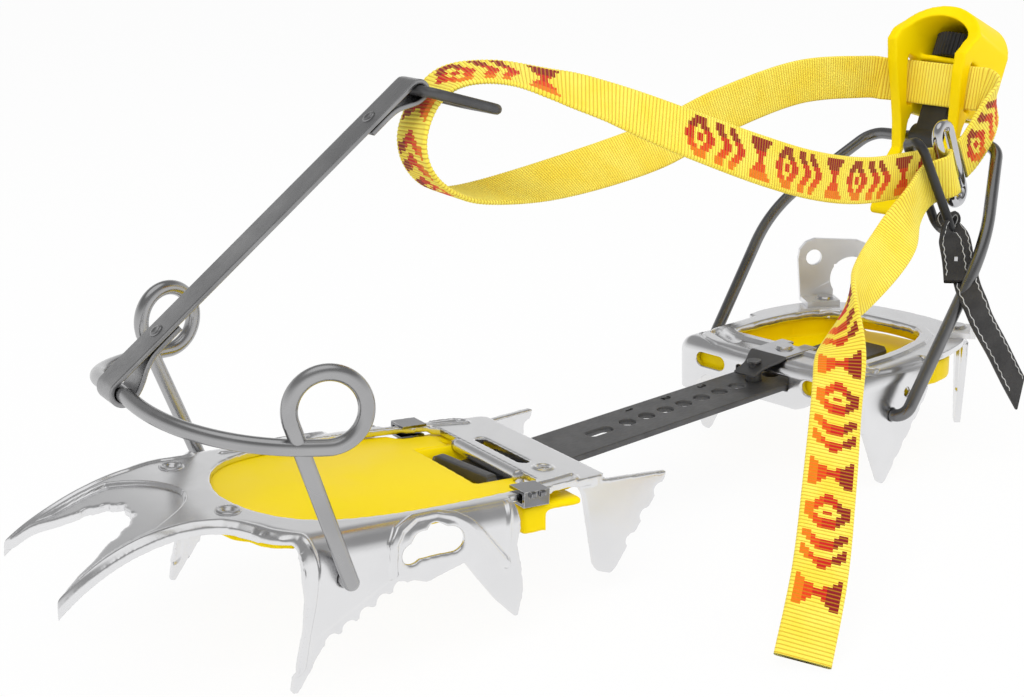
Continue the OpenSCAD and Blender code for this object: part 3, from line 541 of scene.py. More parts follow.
def turned(profile, spots, axis):
    """Turned heads at the spots. Profile rows are (radius, height) in millimetres, from rim to middle."""
    sides = 28
    axis = unit(axis)
    a = unit(np.cross(axis, (0.3, 1, 0.2)))
    b = np.cross(axis, a)
    place, faces = [], []
    for spot in spots:
        first = len(place)
        for radius, height in profile:
            for k in range(sides):
                t = 2 * math.pi * k / sides
                out = math.cos(t) * a + math.sin(t) * b
                place.append(tuple(np.array(spot) + axis * height * MM + radius * MM * out))
        faces += ring_faces(first, len(profile), sides)
    return smooth_faces(new_mesh("turned", place, faces))


def read_rows(value, rows):
    """Height of a drawn line, given as (place, height) rows, at the places asked for."""
    return np.interp(value, *np.array(rows, float).T)


# front plate

FRONT_POS = np.array((-51.4, 7.8, 4.6))
FRONT_TURN = turn_matrix(-7.3, "Z") @ turn_matrix(4.9, "Y")
PLATE_MID, WALL_X, FLAT_HALF, BEND = -8.0, -90.0, 36.4, 7.0
NOSE_START, NOSE_R = -99.0, 62.0


def to_front(place):
    return (place / MM - FRONT_POS) @ FRONT_TURN


def from_front(local):
    return (np.array(local) @ FRONT_TURN.T + FRONT_POS) * MM


def unroll(local):
    """Flat coordinates of the front plate: along the wall, and out from the start of the bend and down the
    wall. Also the side of the plate, and the direction across the sheet."""
    over_mid = local[:, 1] - PLATE_MID
    side = np.where(over_mid < 0, -1.0, 1.0)
    along = local[:, 0] - WALL_X
    over, down = np.abs(over_mid) - FLAT_HALF, -(local[:, 2] + BEND)
    turn = np.arctan2(np.clip(over, 0, None), np.clip(-down, 1e-6, None))
    fold = np.where(over <= 0, 0.0, np.where(down >= 0, math.pi / 2, turn))
    flat = np.where(over <= 0, over, np.where(down >= 0, BEND * math.pi / 2 + down, BEND * turn))
    nose = np.where(over < 2, np.arcsin(np.clip((NOSE_START - local[:, 0]) / NOSE_R, 0, 1)), 0)
    upright = np.cos(fold)
    across = np.stack([-np.sin(nose) * upright, side * np.sin(fold), upright * np.cos(nose)], axis=1)
    return np.stack([along, flat], axis=1), side, across


# lines of the pressing, as places along the wall and out from the start of the bend
WALL_EDGE = [(3.6, 7.0), (4.2, 12.0), (3.4, 20.0), (1.8, 28.0), (0.6, 36.0)]
NEAR_EDGE = [(-51.3, -20.4), (-40, -20.2), (-28, -19.7), (-16, -18.2), (-9.2, -15.8), (-6.4, -13),
             (-4, -9.4), (-2, -5), (0.4, -1.8), (3, 1.5)] + WALL_EDGE
FAR_EDGE = [(-51.3, -4.4), (-40, -4.2), (-28, -3.7), (-16, -2.2), (-9, 0.2), (-5, 1), (-1, 0.8),
            (3, 1.5)] + WALL_EDGE
ARCH = [(28.8, 17), (28.6, 14.1), (28.8, 8.8), (31.6, 5.3), (37.3, 2.3), (44.2, 2.0), (49.1, 4.1),
        (52.5, 6.9), (56.5, 11.6), (61.4, 17.4), (63.9, 20.3)]
REAR_CREASE = [(66.6, 2.4), (64.6, 9.5), (64.2, 21)]
POINT_CREASE = [(4.6, 31.6), (9, 28.9), (15.9, 25), (31, 16.6)]
CORNER_LOOP = [(78.3, -5.1), (87.4, -6.4), (95, -8.1), (95.6, -6.6), (94.6, -4.6), (91.3, -2.3),
               (85.1, -1.7)]
FAR_RAIL = [(14, -2.6), (62, -3.0), (92, -4.4)]
SMALL_HOLE, SMALL_HOLE_R = (1.4, PLATE_MID - 19.6), 2.5
FRONT_RIBS = ((ARCH, 1.0, 1.2, 0.5), (REAR_CREASE, 0.5, 0.6, 0.4), (CORNER_LOOP, 0.5, 0.7, 0.4))
FAR_RIBS = ((FAR_RAIL, 0.5, 0.9, 0.5),)
RIM_RAISE, RIM_ROLL, DISH_DEPTH, GROUND_DEPTH, HOLE_RAISE = 0.55, 1.3, 1.1, 0.45, 0.5
ARM_START, ARM_TIP, ARM_OUTER, ARM_TAPER = 124, 141, 24.1, 0.62
DISH_START, DISH_HALF = -98.6, 19.4
# discs that make up the kidney window: along the wall, height and radius
KIDNEY = ((34.6, -8.8, 2.7), (38.4, -6.8, 3.5), (43, -5.8, 3.8), (47.4, -6.8, 3.3))
SHOULDER, SHOULDER_R, SHOULDER_SHIFT = (1.0, -1.5), 4.5, (0, 1.2, 1.0)
PLATE_GRID, MOULD_GRID = 0.36 * MM, 0.6 * MM


def uneven_front(place):
    """Corners round the kidney windows and at the shoulders, where the outline is to run smoothly."""
    local = to_front(place)
    flat = unroll(local)[0]
    along, low = flat[:, 0], local[:, 2]
    room = np.maximum(np.abs(along - 41.5) - 5.5, np.abs(low + 8) - 2)
    for x, z, radius in KIDNEY:
        room = np.minimum(room, np.hypot(along - x, low - z) - radius)
    window = (np.abs(room) < 1.6) & (flat[:, 1] > 2)
    return window | (np.linalg.norm(flat - SHOULDER, axis=1) < 7)


def press_front(place):
    """Presses the rolled edges, ribs, dish and tapered arms into the front plate."""
    local = to_front(place)
    flat, side, across = unroll(local)
    near = side < 0
    rim = np.where(near, path_distance(flat, NEAR_EDGE), path_distance(flat, FAR_EDGE))
    turned_in = 1 - 0.8 * np.exp(-(np.linalg.norm(flat - SHOULDER, axis=1) / SHOULDER_R) ** 2)
    lift = RIM_RAISE * rib(rim, 3.3, 0.45) - RIM_ROLL * (1 - ease(rim, 0, 2.4)) * turned_in
    lift += ribs(flat, FRONT_RIBS) + ~near * ribs(flat, FAR_RIBS)
    below = flat[:, 1] - read_rows(flat[:, 0], POINT_CREASE)
    ground = ease(below, -0.3, 1.0) * (flat[:, 0] > 6) * (flat[:, 0] < 31)
    lift -= GROUND_DEPTH * ground
    u, v, w = local.T
    half = DISH_HALF * np.sqrt(np.clip((DISH_START - u) / 15, 0, 1))
    dish = (1 - ease(np.abs(v), half - 0.6, half + 0.4)) * (half > 0.5) * (1 - ease(-u, 128, 135))
    lift -= DISH_DEPTH * dish
    round_hole = np.abs(np.linalg.norm(np.stack([u, v], axis=1) - SMALL_HOLE, axis=1) - SMALL_HOLE_R)
    lift += HOLE_RAISE * rib(round_hole, 0.7, 0.5) * (w > -4)
    local = local + across * lift[:, None]
    drawn = near * np.exp(-((flat[:, 0] - SHOULDER[0]) / SHOULDER_R) ** 2) * (1 - ease(rim, 0, 5))
    local -= drawn[:, None] * SHOULDER_SHIFT
    arm = u < -ARM_START
    taper = 1 - ARM_TAPER * ease(-u, ARM_START, ARM_TIP)
    local[arm, 1] = (np.sign(v) * (ARM_OUTER - (ARM_OUTER - np.abs(local[:, 1])) * taper))[arm]
    return from_front(local)


plate = softened("front_plate", PLATE_GRID, 9)
set_corners(plate, press_front(ease_more(plate, corners(plate), uneven_front(corners(plate)), 40)))
show("front_plate_pressed", plate, "front_frame", [plate_steel], ("front_plate",))


EYELET = [(3.7, -0.6), (3.7, 0.1), (3.3, 0.5), (2.6, 0.55), (2.0, 0.25), (1.7, -0.5), (0.4, -0.6)]
EYELET_U, EYELET_SIDE, EYELET_UNDER = -93.8, 20.2, -4.6
plate_up = FRONT_TURN[:, 2]
for label, level, axis in (("top", 0.0, plate_up), ("under", EYELET_UNDER, -plate_up)):
    eyelet_spots = [from_front((EYELET_U, over, level)) for over in (-EYELET_SIDE, EYELET_SIDE)]
    show(f"front_rivet_eyelets_{label}", turned(EYELET, eyelet_spots, axis), "front_frame", [rivet_steel],
         ("front_rivets",))


# yellow moulding under the front plate

DOME_RISE, BELLY_DROP, BELLY_U, BELLY_LONG = 1.6, 3.6, -89, 9


def dome_front(place):
    """Domes the moulding up inside the frame and gives it a belly under the nose."""
    local = to_front(place)
    u, v, w = local.T
    over_mid = v - PLATE_MID
    inner = np.clip(1 - ((u + 52) / 42) ** 2, 0, 1) * np.clip(1 - (over_mid / 35) ** 2, 0, 1)
    out = np.abs(over_mid)
    belly = np.exp(-((u - BELLY_U) / BELLY_LONG) ** 2) * ease(out, 8, 22) * (w < -3.4) * (out < 30)
    local[:, 2] += DOME_RISE * inner * ease(-u, 10, 22) - BELLY_DROP * belly
    return from_front(local)


form("front_antiball_moulded", "front_antiball", MOULD_GRID, 12, dome_front, "front_frame", yellow_plastic)


def sheet(spot, over, along, drop):
    """Closed sheet: spot(s, t) gives its upper face for s, t from 0 to 1, drop leads to its lower face."""
    place, faces = [], []
    for share in (0, 1):
        for i in range(over + 1):
            for j in range(along + 1):
                place.append(tuple(np.array(spot(i / over, j / along)) + share * np.array(drop)))
    row, face = along + 1, (over + 1) * (along + 1)
    for i in range(over):
        for j in range(along):
            a = i * row + j
            b, c, d = a + 1, a + row + 1, a + row
            faces.append((a, d, c, b))
            faces.append((a + face, b + face, c + face, d + face))
    rim = list(range(along)) + [i * row + along for i in range(over)]
    rim += [over * row + j for j in range(along, 0, -1)] + [i * row for i in range(over, 0, -1)]
    for a, b in zip(rim, rim[1:] + rim[:1]):
        faces.append((a, b, b + face, a + face))
    return new_mesh("sheet", place, faces)


def front_sheet(name, spot, over, along, thick):
    """Sheet of the moulding that is laid out on the front plate."""
    data = sheet(spot, over, along, (0, 0, -thick))
    set_corners(data, from_front(corners(data)))
    show(name, smooth_faces(data), "front_frame", [yellow_plastic])


PAN_DEPTH, PAN_RISE, PAN_START, PAN_END, PAN_HALF = 8.6, 5.9, -22.6, 9.0, 18.4
FLANGE_START, FLANGE_LEN, FLANGE_SIDE, FLANGE_WIDTH, FLANGE_TOP, FLANGE_BOW = -22, 15.5, 8, 21, -4.4, 0.4


def pan_spot(s, t):
    """Shallow pan under the head of the bar: deep in the middle, rising to the moulding at its rim."""
    side, front = 2 * s - 1, 1 - t
    rise = max(ease(abs(side), 0.80, 0.91), ease(front, 0.84, 0.96))
    along = PAN_START + (PAN_END - PAN_START) * t
    return (along, PLATE_MID + PAN_HALF * side, -PAN_DEPTH + PAN_RISE * rise)


def flange_spot(s, t):
    """Flange of the moulding under the far clip."""
    bow = FLANGE_BOW * (2 * s - 1) ** 2
    return (FLANGE_START + FLANGE_LEN * t, FLANGE_SIDE + FLANGE_WIDTH * s, FLANGE_TOP - bow)


front_sheet("front_antiball_pan", pan_spot, 60, 30, 1.4)
front_sheet("front_antiball_flange", flange_spot, 12, 8, 1.2)


# rounded lip of the front plate, and the head of the bar in front of it

LIP_R, LIP_U, LIP_FAR, LIP_NEAR = 2.2, -6.0, 8.5, -27.0
HEAD_REAR, HEAD_FRONT, HEAD_RISE = 61.8, 66.5, 2.3
lip_row = [from_front((LIP_U, over, -LIP_R - 0.15)) for over in np.linspace(LIP_NEAR, LIP_FAR, 24)]
show("front_plate_lip", tubes([lip_row], LIP_R * MM, 20), "front_frame", [plate_steel])


def hook_head(place):
    """Bends the head of the bar up in front of the plate's lip."""
    place[:, 2] += HEAD_RISE * MM * ease(-place[:, 0], HEAD_REAR * MM, HEAD_FRONT * MM)
    return place


form("link_bar_formed", "link_bar", 0.4 * MM, 3, hook_head, "bar", dark_steel)


# toe link, a strip folded round the bail at one end and round the strap ring at the other

LINK_START = np.array((-118.73, -8.0, 32.96))
LINK_LEAN, LINK_LEN = 41.59, 112.75
LINK_W, LINK_T = 10.0, 1.4
LOW_EYE, TOP_EYE = 3.03, 2.42


def link_spot(x, z):
    """Place in the middle of the link's width, from its length and height."""
    lean = math.radians(LINK_LEAN)
    run = np.array((math.cos(lean), 0, math.sin(lean)))
    rise = np.array((-math.sin(lean), 0, math.cos(lean)))
    return from_front(LINK_START + x * run + z * rise)


def link_height(x):
    """Height of the strip's middle line between its two eyes."""
    return LOW_EYE + (TOP_EYE - LOW_EYE) * x / LINK_LEN


def link_route():
    """Middle line of the strip, in the link's length and height."""
    turns = np.radians(np.arange(0, 181, 22.5))
    low = [(LOW_EYE * math.sin(t), LOW_EYE * math.cos(t)) for t in turns - math.pi]
    top = [(LINK_LEN + TOP_EYE * math.sin(t), TOP_EYE * math.cos(t)) for t in turns]
    lap_low = [(22, 1.42), (17, 1.42), (12, 1.2), (8.5, 0.0), (5.4, -1.7), (2.6, -2.8)]
    lap_top = [(2.4, -2.1), (5, -0.9), (8, 0.5), (11, 0.94), (15, 0.98), (18, 0.98)]
    lap_top = [(LINK_LEN - x, z) for x, z in lap_top]
    middle = [(x, link_height(x)) for x in (6, 20, 40, 60, 80, 95, LINK_LEN - 6)]
    return lap_low + low + middle + top + lap_top


# heel plate

HEEL_UNDER = 4.8
HEEL_RING = [(79.6, 0), (79.6, 26), (82.4, 30.6), (94, 31.2), (104, 30.6), (115.8, 28.6), (125.8, 24.4),
             (130.8, 18), (132.2, 9), (132.4, 0)]
HEEL_STEP = [(66.8, 0), (66.9, 14), (67.6, 24), (70.2, 32), (72.4, 35.4), (78, 38.2), (86, 39.2),
             (103, 39.8)]
HEEL_CORNER = [(73.6, 20.5), (79.4, 35.5)]
HEEL_RIBS = ((HEEL_RING, 0.9, 2.0, 0.45), (HEEL_STEP, -0.8, 0.6, 0.4), (HEEL_CORNER, -2.1, 1.8, 0.7))


def press_heel(place):
    """Presses the ring round the opening, the step and the corner grooves into the heel plate's top."""
    local = place / MM
    x, y, z = local.T
    top = ease(z, HEEL_UNDER - 1.4, HEEL_UNDER - 0.4)
    flat = np.stack([x, np.abs(y)], axis=1)
    local[:, 2] += ribs(flat, HEEL_RIBS) * top
    return local * MM


form("heel_plate_pressed", "heel_plate", PLATE_GRID, 8, press_heel, "heel_frame", plate_steel)
form("heel_antiball_moulded", "heel_antiball", MOULD_GRID, 8, None, "heel_frame", yellow_plastic)
REAR_X, REAR_BOW, REAR_HALF, REAR_LOW, REAR_RISE = 138.2, 2.6, 14.6, 0.15, 6.0


def rear_wall_spot(s, t):
    """Rear wall of the heel dish, above the bar."""
    across = 2 * s - 1
    return np.array((REAR_X - REAR_BOW * across ** 2, REAR_HALF * across, REAR_LOW + REAR_RISE * t)) * MM


rear_wall = smooth_faces(sheet(rear_wall_spot, 24, 4, (1.5 * MM, 0, 0)))
show("heel_antiball_rear", rear_wall, "heel_frame", [yellow_plastic])


# lever and its wheel

LEVER_POS, LEVER_TURN = np.array((159.0, 0, 71.0)), turn_matrix(24, "Y")
LEVER_FRONT, BRIDGE_DROP, BACK_SHIFT = 13.8, 9.5, 2.9
# height along the lever and place of its front edge, on the far and on the near side
FAR_FRONT = [(-20, -13.8), (-12, -7), (-5.7, -4.5), (3.2, -9.1), (12.8, -15.4), (22, -22), (29.4, -26),
             (36, -23.5), (42, -19), (47, -15)]
NEAR_FRONT = [(-20, -13.8), (-12, -9), (-4, -7), (4, -8), (9, -9.6), (14, -11.6), (21.5, -14.5), (28.4, -16),
              (32.2, -13.5), (38.3, -10.5), (42.5, -10), (47, -11)]


def mould_lever(place):
    """Draws the front edge of the lever out to a shoulder on the far side and back from the wheel on the
    near side, lowers the bridge and moves the back plate out."""
    local = (place / MM - LEVER_POS) @ LEVER_TURN
    x, y, z = local.T
    bridge = (1 - ease(np.abs(y), 8.4, 9.6)) * (x < -9) * (z < 0) * ease(z, -16, -5)
    local[:, 2] -= BRIDGE_DROP * bridge
    z = local[:, 2]
    far, near = read_rows(z, FAR_FRONT), read_rows(z, NEAR_FRONT)
    front = near + (far - near) * ease(y, -10, 10)
    share = np.clip(-x / LEVER_FRONT, 0, 1)
    local[:, 0] += share * (front + LEVER_FRONT) + BACK_SHIFT * ease(x, 4.5, 6.4) * (z > 9)
    return (local @ LEVER_TURN.T + LEVER_POS) * MM


form("heel_lever_moulded", "heel_lever", 0.5 * MM, 12, mould_lever, "lever", yellow_plastic)
WHEEL_R, WHEEL_LOW, WHEEL_HIGH, WHEEL_RIBS, GROOVE = 9.0, 29.5, 38.5, 36, 0.55


def ribbed_wheel():
    """Ribbed thumb wheel about the lever's axis."""
    rows = ((0.93, WHEEL_LOW), (1.0, WHEEL_LOW + 0.5), (1.0, WHEEL_HIGH - 0.5), (0.93, WHEEL_HIGH))
    sides = WHEEL_RIBS * 4
    place = []
    for share, height in rows:
        for k in range(sides):
            radius = WHEEL_R * share - (GROOVE if k % 4 in (0, 1) else 0.0)
            angle = 2 * math.pi * k / sides
            spot = np.array((radius * math.cos(angle), radius * math.sin(angle), height))
            place.append(tuple((LEVER_TURN @ spot + LEVER_POS) * MM))
    return new_mesh("wheel", place, ring_faces(0, len(rows), sides))


show("adjust_wheel_ribbed", ribbed_wheel(), "adjuster", [black_plastic], ("adjust_wheel",))


# leaf of the length lock, bright at its foot and dark towards the pin

LEAF_FOOT, LEAF_NARROW = 69.0, 0.42


def narrow_leaf(place):
    """Draws the free end of the leaf in towards the pin."""
    ahead = ease(LEAF_FOOT * MM - place[:, 0], 0, 9 * MM)
    place[:, 1] *= 1 - LEAF_NARROW * ahead
    return place


leaf = softened("lock_spring", 0.26 * MM, 4, narrow_leaf)
lock_leaf = show("lock_spring_leaf", leaf, None, [spring_chrome, dark_steel],
                 ("lock_spring",))
face_mid = np.empty(len(leaf.polygons) * 3)
leaf.polygons.foreach_get("center", face_mid)
leaf.polygons.foreach_set("material_index", np.where(face_mid[0::3] < (LEAF_FOOT - 0.4) * MM, 1, 0))
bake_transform(lock_leaf)


# solid pieces that keep their shape

def dress(node, made, bevel):
    """Gives a CAD node its finish and soft edges."""
    piece = nodes[node]
    if not piece.material_slots:
        piece.data.materials.append(made)
    for place in piece.material_slots:
        place.material = made
    if bevel:
        weld = piece.modifiers.new("weld", "WELD")
        weld.merge_threshold = 1e-6
        soft = piece.modifiers.new("soft_edges", "BEVEL")
        soft.width, soft.segments, soft.limit_method = bevel, 2, "ANGLE"
        soft.angle_limit = math.radians(35)


# node, finish and width of its soft edges in millimetres
SOLID_NODES = (("clip_left", clip_chrome, 0.3), ("clip_right", clip_chrome, 0.3),
               ("toe_bail", wire_steel, 0), ("strap_ring", dark_steel, 0),
               ("heel_post_left", post_steel, 0.5), ("heel_post_right", post_steel, 0.5),
               ("post_rivets", rivet_steel, 0.25), ("lock_rivet", rivet_steel, 0.25),
               ("lock_pin", dark_steel, 0.2), ("heel_bail", heel_wire, 0),
               ("adjust_block", black_plastic, 0.6), ("adjust_screw", screw_steel, 0.15),
               ("buckle_ring", spring_chrome, 0), ("buckle_loop", black_plastic, 0),
               ("tab_staple", rivet_steel, 0.15))
for node, made, bevel in SOLID_NODES:
    dress(node, made, bevel * MM)


# plain numbers along the bar

# hole that each number stands at, and its stroke
NUMBERS = (
    (1, [(0.35, 2.5), (0.95, 3.1), (0.95, 0.0)]),
    (3, [(0.1, 2.5), (0.5, 3.0), (1.2, 3.1), (1.7, 2.6), (1.6, 1.9), (0.1, 0.0), (1.8, 0.0)]),
    (5, [(0.1, 2.8), (0.7, 3.1), (1.4, 3.0), (1.6, 2.4), (1.3, 1.8), (0.7, 1.6), (1.4, 1.4), (1.7, 0.8),
         (1.4, 0.2), (0.7, 0.0), (0.1, 0.3)]))
HOLE_PITCH, NUMBER_BACK, NUMBER_EDGE = 8.7, 1.5, 9.1
number_paths = []
for hole, stroke in NUMBERS:
    start = hole * HOLE_PITCH - NUMBER_BACK
    number_paths.append([np.array((start + b, NUMBER_EDGE - a, 0.0)) * MM for a, b in stroke])
show("bar_numbers", tubes(number_paths, 0.24 * MM, 6), "bar", [stamped_mark])


# straps

def spline(points, per):
    """Smooth curve through the points, per steps to a span."""
    points = np.array(points, float)
    rows = []
    last = len(points) - 1
    for i in range(last):
        a, b, c, d = points[max(0, i - 1)], points[i], points[i + 1], points[min(last, i + 2)]
        for k in range(per):
            t = k / per
            bend, twist = 2 * a - 5 * b + 4 * c - d, 3 * b - a - 3 * c + d
            rows.append(0.5 * (2 * b + (c - a) * t + bend * t * t + twist * t ** 3))
    rows.append(points[-1])
    return np.array(rows)


class Ribbon:
    """A flat strap laid along a smooth path."""

    def __init__(self, points, sides, step, profile, wave=0.0):
        path, side = spline(points, 24), spline(sides, 24)
        length = np.concatenate([[0], np.cumsum(np.linalg.norm(np.diff(path, axis=0), axis=1))])
        self.total = length[-1]
        self.run = np.linspace(0, self.total, int(round(self.total / step)) + 1)
        self.path, side = (np.stack([np.interp(self.run, length, row) for row in rows.T], axis=1)
                           for rows in (path, side))
        self.tangent = unit(np.gradient(self.path, axis=0))
        self.side = unit(side - self.tangent * np.sum(side * self.tangent, axis=1)[:, None])
        self.face = np.cross(self.tangent, self.side)
        self.over, thick = np.array(profile, float).T
        swell = 1 + wave * np.cos(2 * math.pi * self.run / WEAVE)
        self.skin = (self.path[:, None, :] + self.side[:, None, :] * self.over[None, :, None]
                     + self.face[:, None, :] * (thick[None, :] * swell[:, None])[:, :, None])

    def index(self, length):
        return int(np.clip(np.searchsorted(self.run, length), 0, len(self.run) - 1))

    def cut_end(self, reach, slant):
        """Cuts the far end at a slant over the last stretch."""
        weight = ease(self.run, self.total - reach, self.total)[:, None, None]
        shift = (self.over / np.abs(self.over).max() * -slant)[None, :, None]
        self.skin = self.skin + self.tangent[:, None, :] * shift * weight

    def normals(self):
        run = np.gradient(self.skin, axis=0)
        turn = np.roll(self.skin, -1, axis=1) - np.roll(self.skin, 1, axis=1)
        return unit(np.cross(run, turn))


def strap_mesh(ribbon, first, last, caps):
    """Mesh between two rings of a ribbon, with a UV of length and width."""
    rows, ring = last - first + 1, len(ribbon.over)
    i, k = np.meshgrid(np.arange(rows - 1), np.arange(ring), indexing="ij")
    n = (k + 1) % ring
    low, high = i * ring, (i + 1) * ring
    quads = np.stack([low + k, high + k, high + n, low + n], axis=-1).reshape(-1, 4)
    faces = [tuple(q) for q in quads.tolist()]
    if caps[0]:
        faces.append(tuple(range(ring)))
    if caps[1]:
        faces.append(tuple((rows - 1) * ring + j for j in reversed(range(ring))))
    data = new_mesh("strap", ribbon.skin[first:last + 1].reshape(-1, 3).tolist(), faces)
    width = np.tile((ribbon.over / np.abs(ribbon.over).max() + 1) / 2, rows)
    length = np.repeat(ribbon.run[first:last + 1], ring)
    which = np.empty(len(data.loops), int)
    data.loops.foreach_get("vertex_index", which)
    spots = np.stack([length[which], width[which]], axis=1)
    data.uv_layers.new(name="strap").data.foreach_set("uv", spots.ravel())
    back = np.zeros(len(data.polygons), int)
    back[:len(quads)] = np.where(k.reshape(-1) < ring // 2, 0, 1)
    data.polygons.foreach_set("material_index", back)
    smooth_faces(data)
    data.normals_split_custom_set_from_vertices(ribbon.normals()[first:last + 1].reshape(-1, 3).tolist())
    return data


def flat_profile(width, thick):
    """Cross-section of a strap, thinner at its edges."""
    a, b = width / 2, thick / 2
    half = [(-1, 0), (-0.975, 0.7)] + [(0.3 * k, 1) for k in range(-3, 4)] + [(0.975, 0.7)]
    return [(x * a, y * b) for x, y in half] + [(-x * a, -y * b) for x, y in half]


def lay(rows, step, profile, wave=0.0):
    """Ribbon along drawn rows of (place in millimetres, direction across)."""
    places, sides = zip(*rows)
    return Ribbon(np.array(places) * MM, sides, step * MM, profile, wave)


def strip_profile(width, thick):
    """Cross-section of a metal strip with small rounded edges."""
    a, b, r = width / 2, thick / 2, 0.3 * MM
    half = [(-a, 0), (-a, b - r), (-a + 0.3 * r, b - 0.3 * r), (-a + r, b), (0, b), (a - r, b),
            (a - 0.3 * r, b - 0.3 * r), (a, b - r)]
    return half + [(-x, -y) for x, y in half]


link_points = [link_spot(x, z) for x, z in link_route()]
link_sides = [FRONT_TURN[:, 1]] * len(link_points)
link = Ribbon(link_points, link_sides, 0.4 * MM, strip_profile(LINK_W * MM, LINK_T * MM))
link_strip = strap_mesh(link, 0, len(link.run) - 1, (True, True))
show("toe_link_strip", link_strip, "toe_link", [link_steel] * 2, ("toe_link",))
link_up = link_spot(0, 1) - link_spot(0, 0)
RIVET_DOME = [(2.0, -0.2), (2.0, 0.15), (1.7, 0.42), (1.1, 0.5), (0.7, 0.28)]
rivet_spots = [link_spot(x, link_height(x) + LINK_T / 2) for x in (17.5, LINK_LEN - 14.5)]
rivet_heads = turned(RIVET_DOME, rivet_spots, link_up)
show("toe_link_rivet_heads", rivet_heads, "toe_link", [link_steel], ("link_rivets",))


# webbing: places of its middle line in millimetres, each with the direction across the strap

SLOT = LEVER_POS + LEVER_TURN @ np.array((-6.9, 0, 18.6))
# across the strap at the buckle ring and at the strap ring
RUN, TOE = tuple(unit((-12.7, 0, 28.2))), (0.127, 0.99, 0)


def by_slot(x, y, z):
    return tuple(SLOT + np.array((x, y, z)))


SLOT_NEAR, SLOT_FAR = by_slot(0, -20.4, -0.6), by_slot(-5.6, 19.4, 1.5)
TOE_FAR, TOE_NEAR = (-54.6, 5, 82.1), (-33, -12.5, 111.2)
WRAP_START, WRAP_END = (105, -25.5, 68.0), (121, -31, 65)
WEB = [((139, -26.2, 69), RUN), ((144.6, -26.1, 72), RUN), ((152, -26.4, 79.4), (-0.66, 0, 0.75)),
       ((159, -25, 87), (-0.4, -0.2, 0.85)), (SLOT_NEAR, (0.1, -0.2, 0.95)),
       (by_slot(0, -14.6, -0.2), (0.2, 0, 0.98)), (by_slot(-1, 0, 0.3), (0.15, 0, 0.99)),
       (by_slot(-2.2, 14.6, 0.9), (0.1, 0, 1)), (SLOT_FAR, (0.07, 0, 1)), ((146, 22.4, 93.6), (0.03, 0, 1)),
       ((111, 24.5, 95.2), (0, 0.1, 1)), ((70.6, 24.5, 89.7), (0, 0.25, 1)),
       ((32.7, 20.2, 82.8), (0, 0.45, 0.9)), ((-18.6, 11.6, 80.5), (0, 0.8, 0.6)), (TOE_FAR, (0, 1, 0.2)),
       ((-68.6, 3.5, 86.1), TOE), ((-76.6, 2.8, 93.6), TOE), ((-78, 2.7, 102.6), TOE),
       ((-72.8, 2.5, 111.6), TOE), ((-63.6, 1.1, 117.2), (0.1, 1, 0.2)), ((-49.6, -3, 117), (0, 0.95, 0.35)),
       ((-36.6, -10.5, 112.6), (0, 0.85, 0.55)), ((-23.6, -17.5, 107.2), (0, 0.7, 0.75)),
       ((-0.2, -26.4, 96.1), (0, 0.4, 0.9)), ((30.7, -29.2, 83.8), (0, 0.2, 1)),
       ((58.1, -27.9, 75), (0, 0.1, 1)), ((85, -26, 69.4), (0, 0, 1)), ((112, -25.4, 67.8), (-0.2, 0, 1)),
       ((125, -24.3, 67.2), RUN), ((131, -28, 66.6), RUN), ((124.8, -31.7, 65.8), RUN),
       ((115, -29.2, 63.6), (-0.35, 0, 0.93)), ((103, -32.4, 58.6), (-0.35, 0.05, 0.93)),
       ((86.3, -37, 49), (-0.39, 0.52, 0.5)), ((59.4, -45, 40.5), (-0.3, 0.1, 0.85)),
       ((45.6, -50, 36), (0.1, -0.5, 0.85)), ((24, -65, 21), (0.7, -0.66, -0.2)),
       ((2.4, -80, 2), (0.72, -0.66, -0.15)), ((-19.9, -95, -15), (0.75, -0.64, -0.1)),
       ((-38.8, -105, -31), (0.77, -0.62, 0))]
WEB_W, WEB_T, WEB_STEP, WEB_WAVE = 15.5, 1.45, 0.3, 0.2
webbing = lay(WEB, WEB_STEP, flat_profile(WEB_W * MM, WEB_T * MM), WEB_WAVE)


def length_at(point):
    """Length along the webbing of the place nearest to a drawn point."""
    return webbing.run[np.argmin(np.linalg.norm(webbing.path - np.array(point) * MM, axis=1))]


web_count = 0


def web_piece(start, end, bodies, shares=(1.0,), caps=(False, False)):
    """One stretch of webbing. With one body it rides on it; with more it is cut by the shares into
    pieces that ride on no body."""
    global web_count
    cuts = start + (end - start) * np.concatenate([[0.0], np.cumsum(shares) / np.sum(shares)])
    single = bodies[0] if len(bodies) == 1 else None
    for n, (low, high) in enumerate(zip(cuts[:-1], cuts[1:])):
        first, last = webbing.index(low), webbing.index(high)
        data = strap_mesh(webbing, first, last, (caps[0] and n == 0, caps[1] and n == len(cuts) - 2))
        web_count += 1
        piece = show(f"webbing_{web_count:02d}", data, single, [web_figured, web_plain],
                     ("webbing",))
        if not single:
            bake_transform(piece)


slot_in, slot_out = length_at(SLOT_NEAR), length_at(SLOT_FAR)
ring_far, ring_near = length_at(TOE_FAR), length_at(TOE_NEAR)
wrap_in, wrap_out = length_at(WRAP_START), length_at(WRAP_END)
to_toe = ["lever", "block", "heel_bail", "heel_frame", "bar", "front_frame", "toe_bail", "toe_link",
          "strap_ring"]
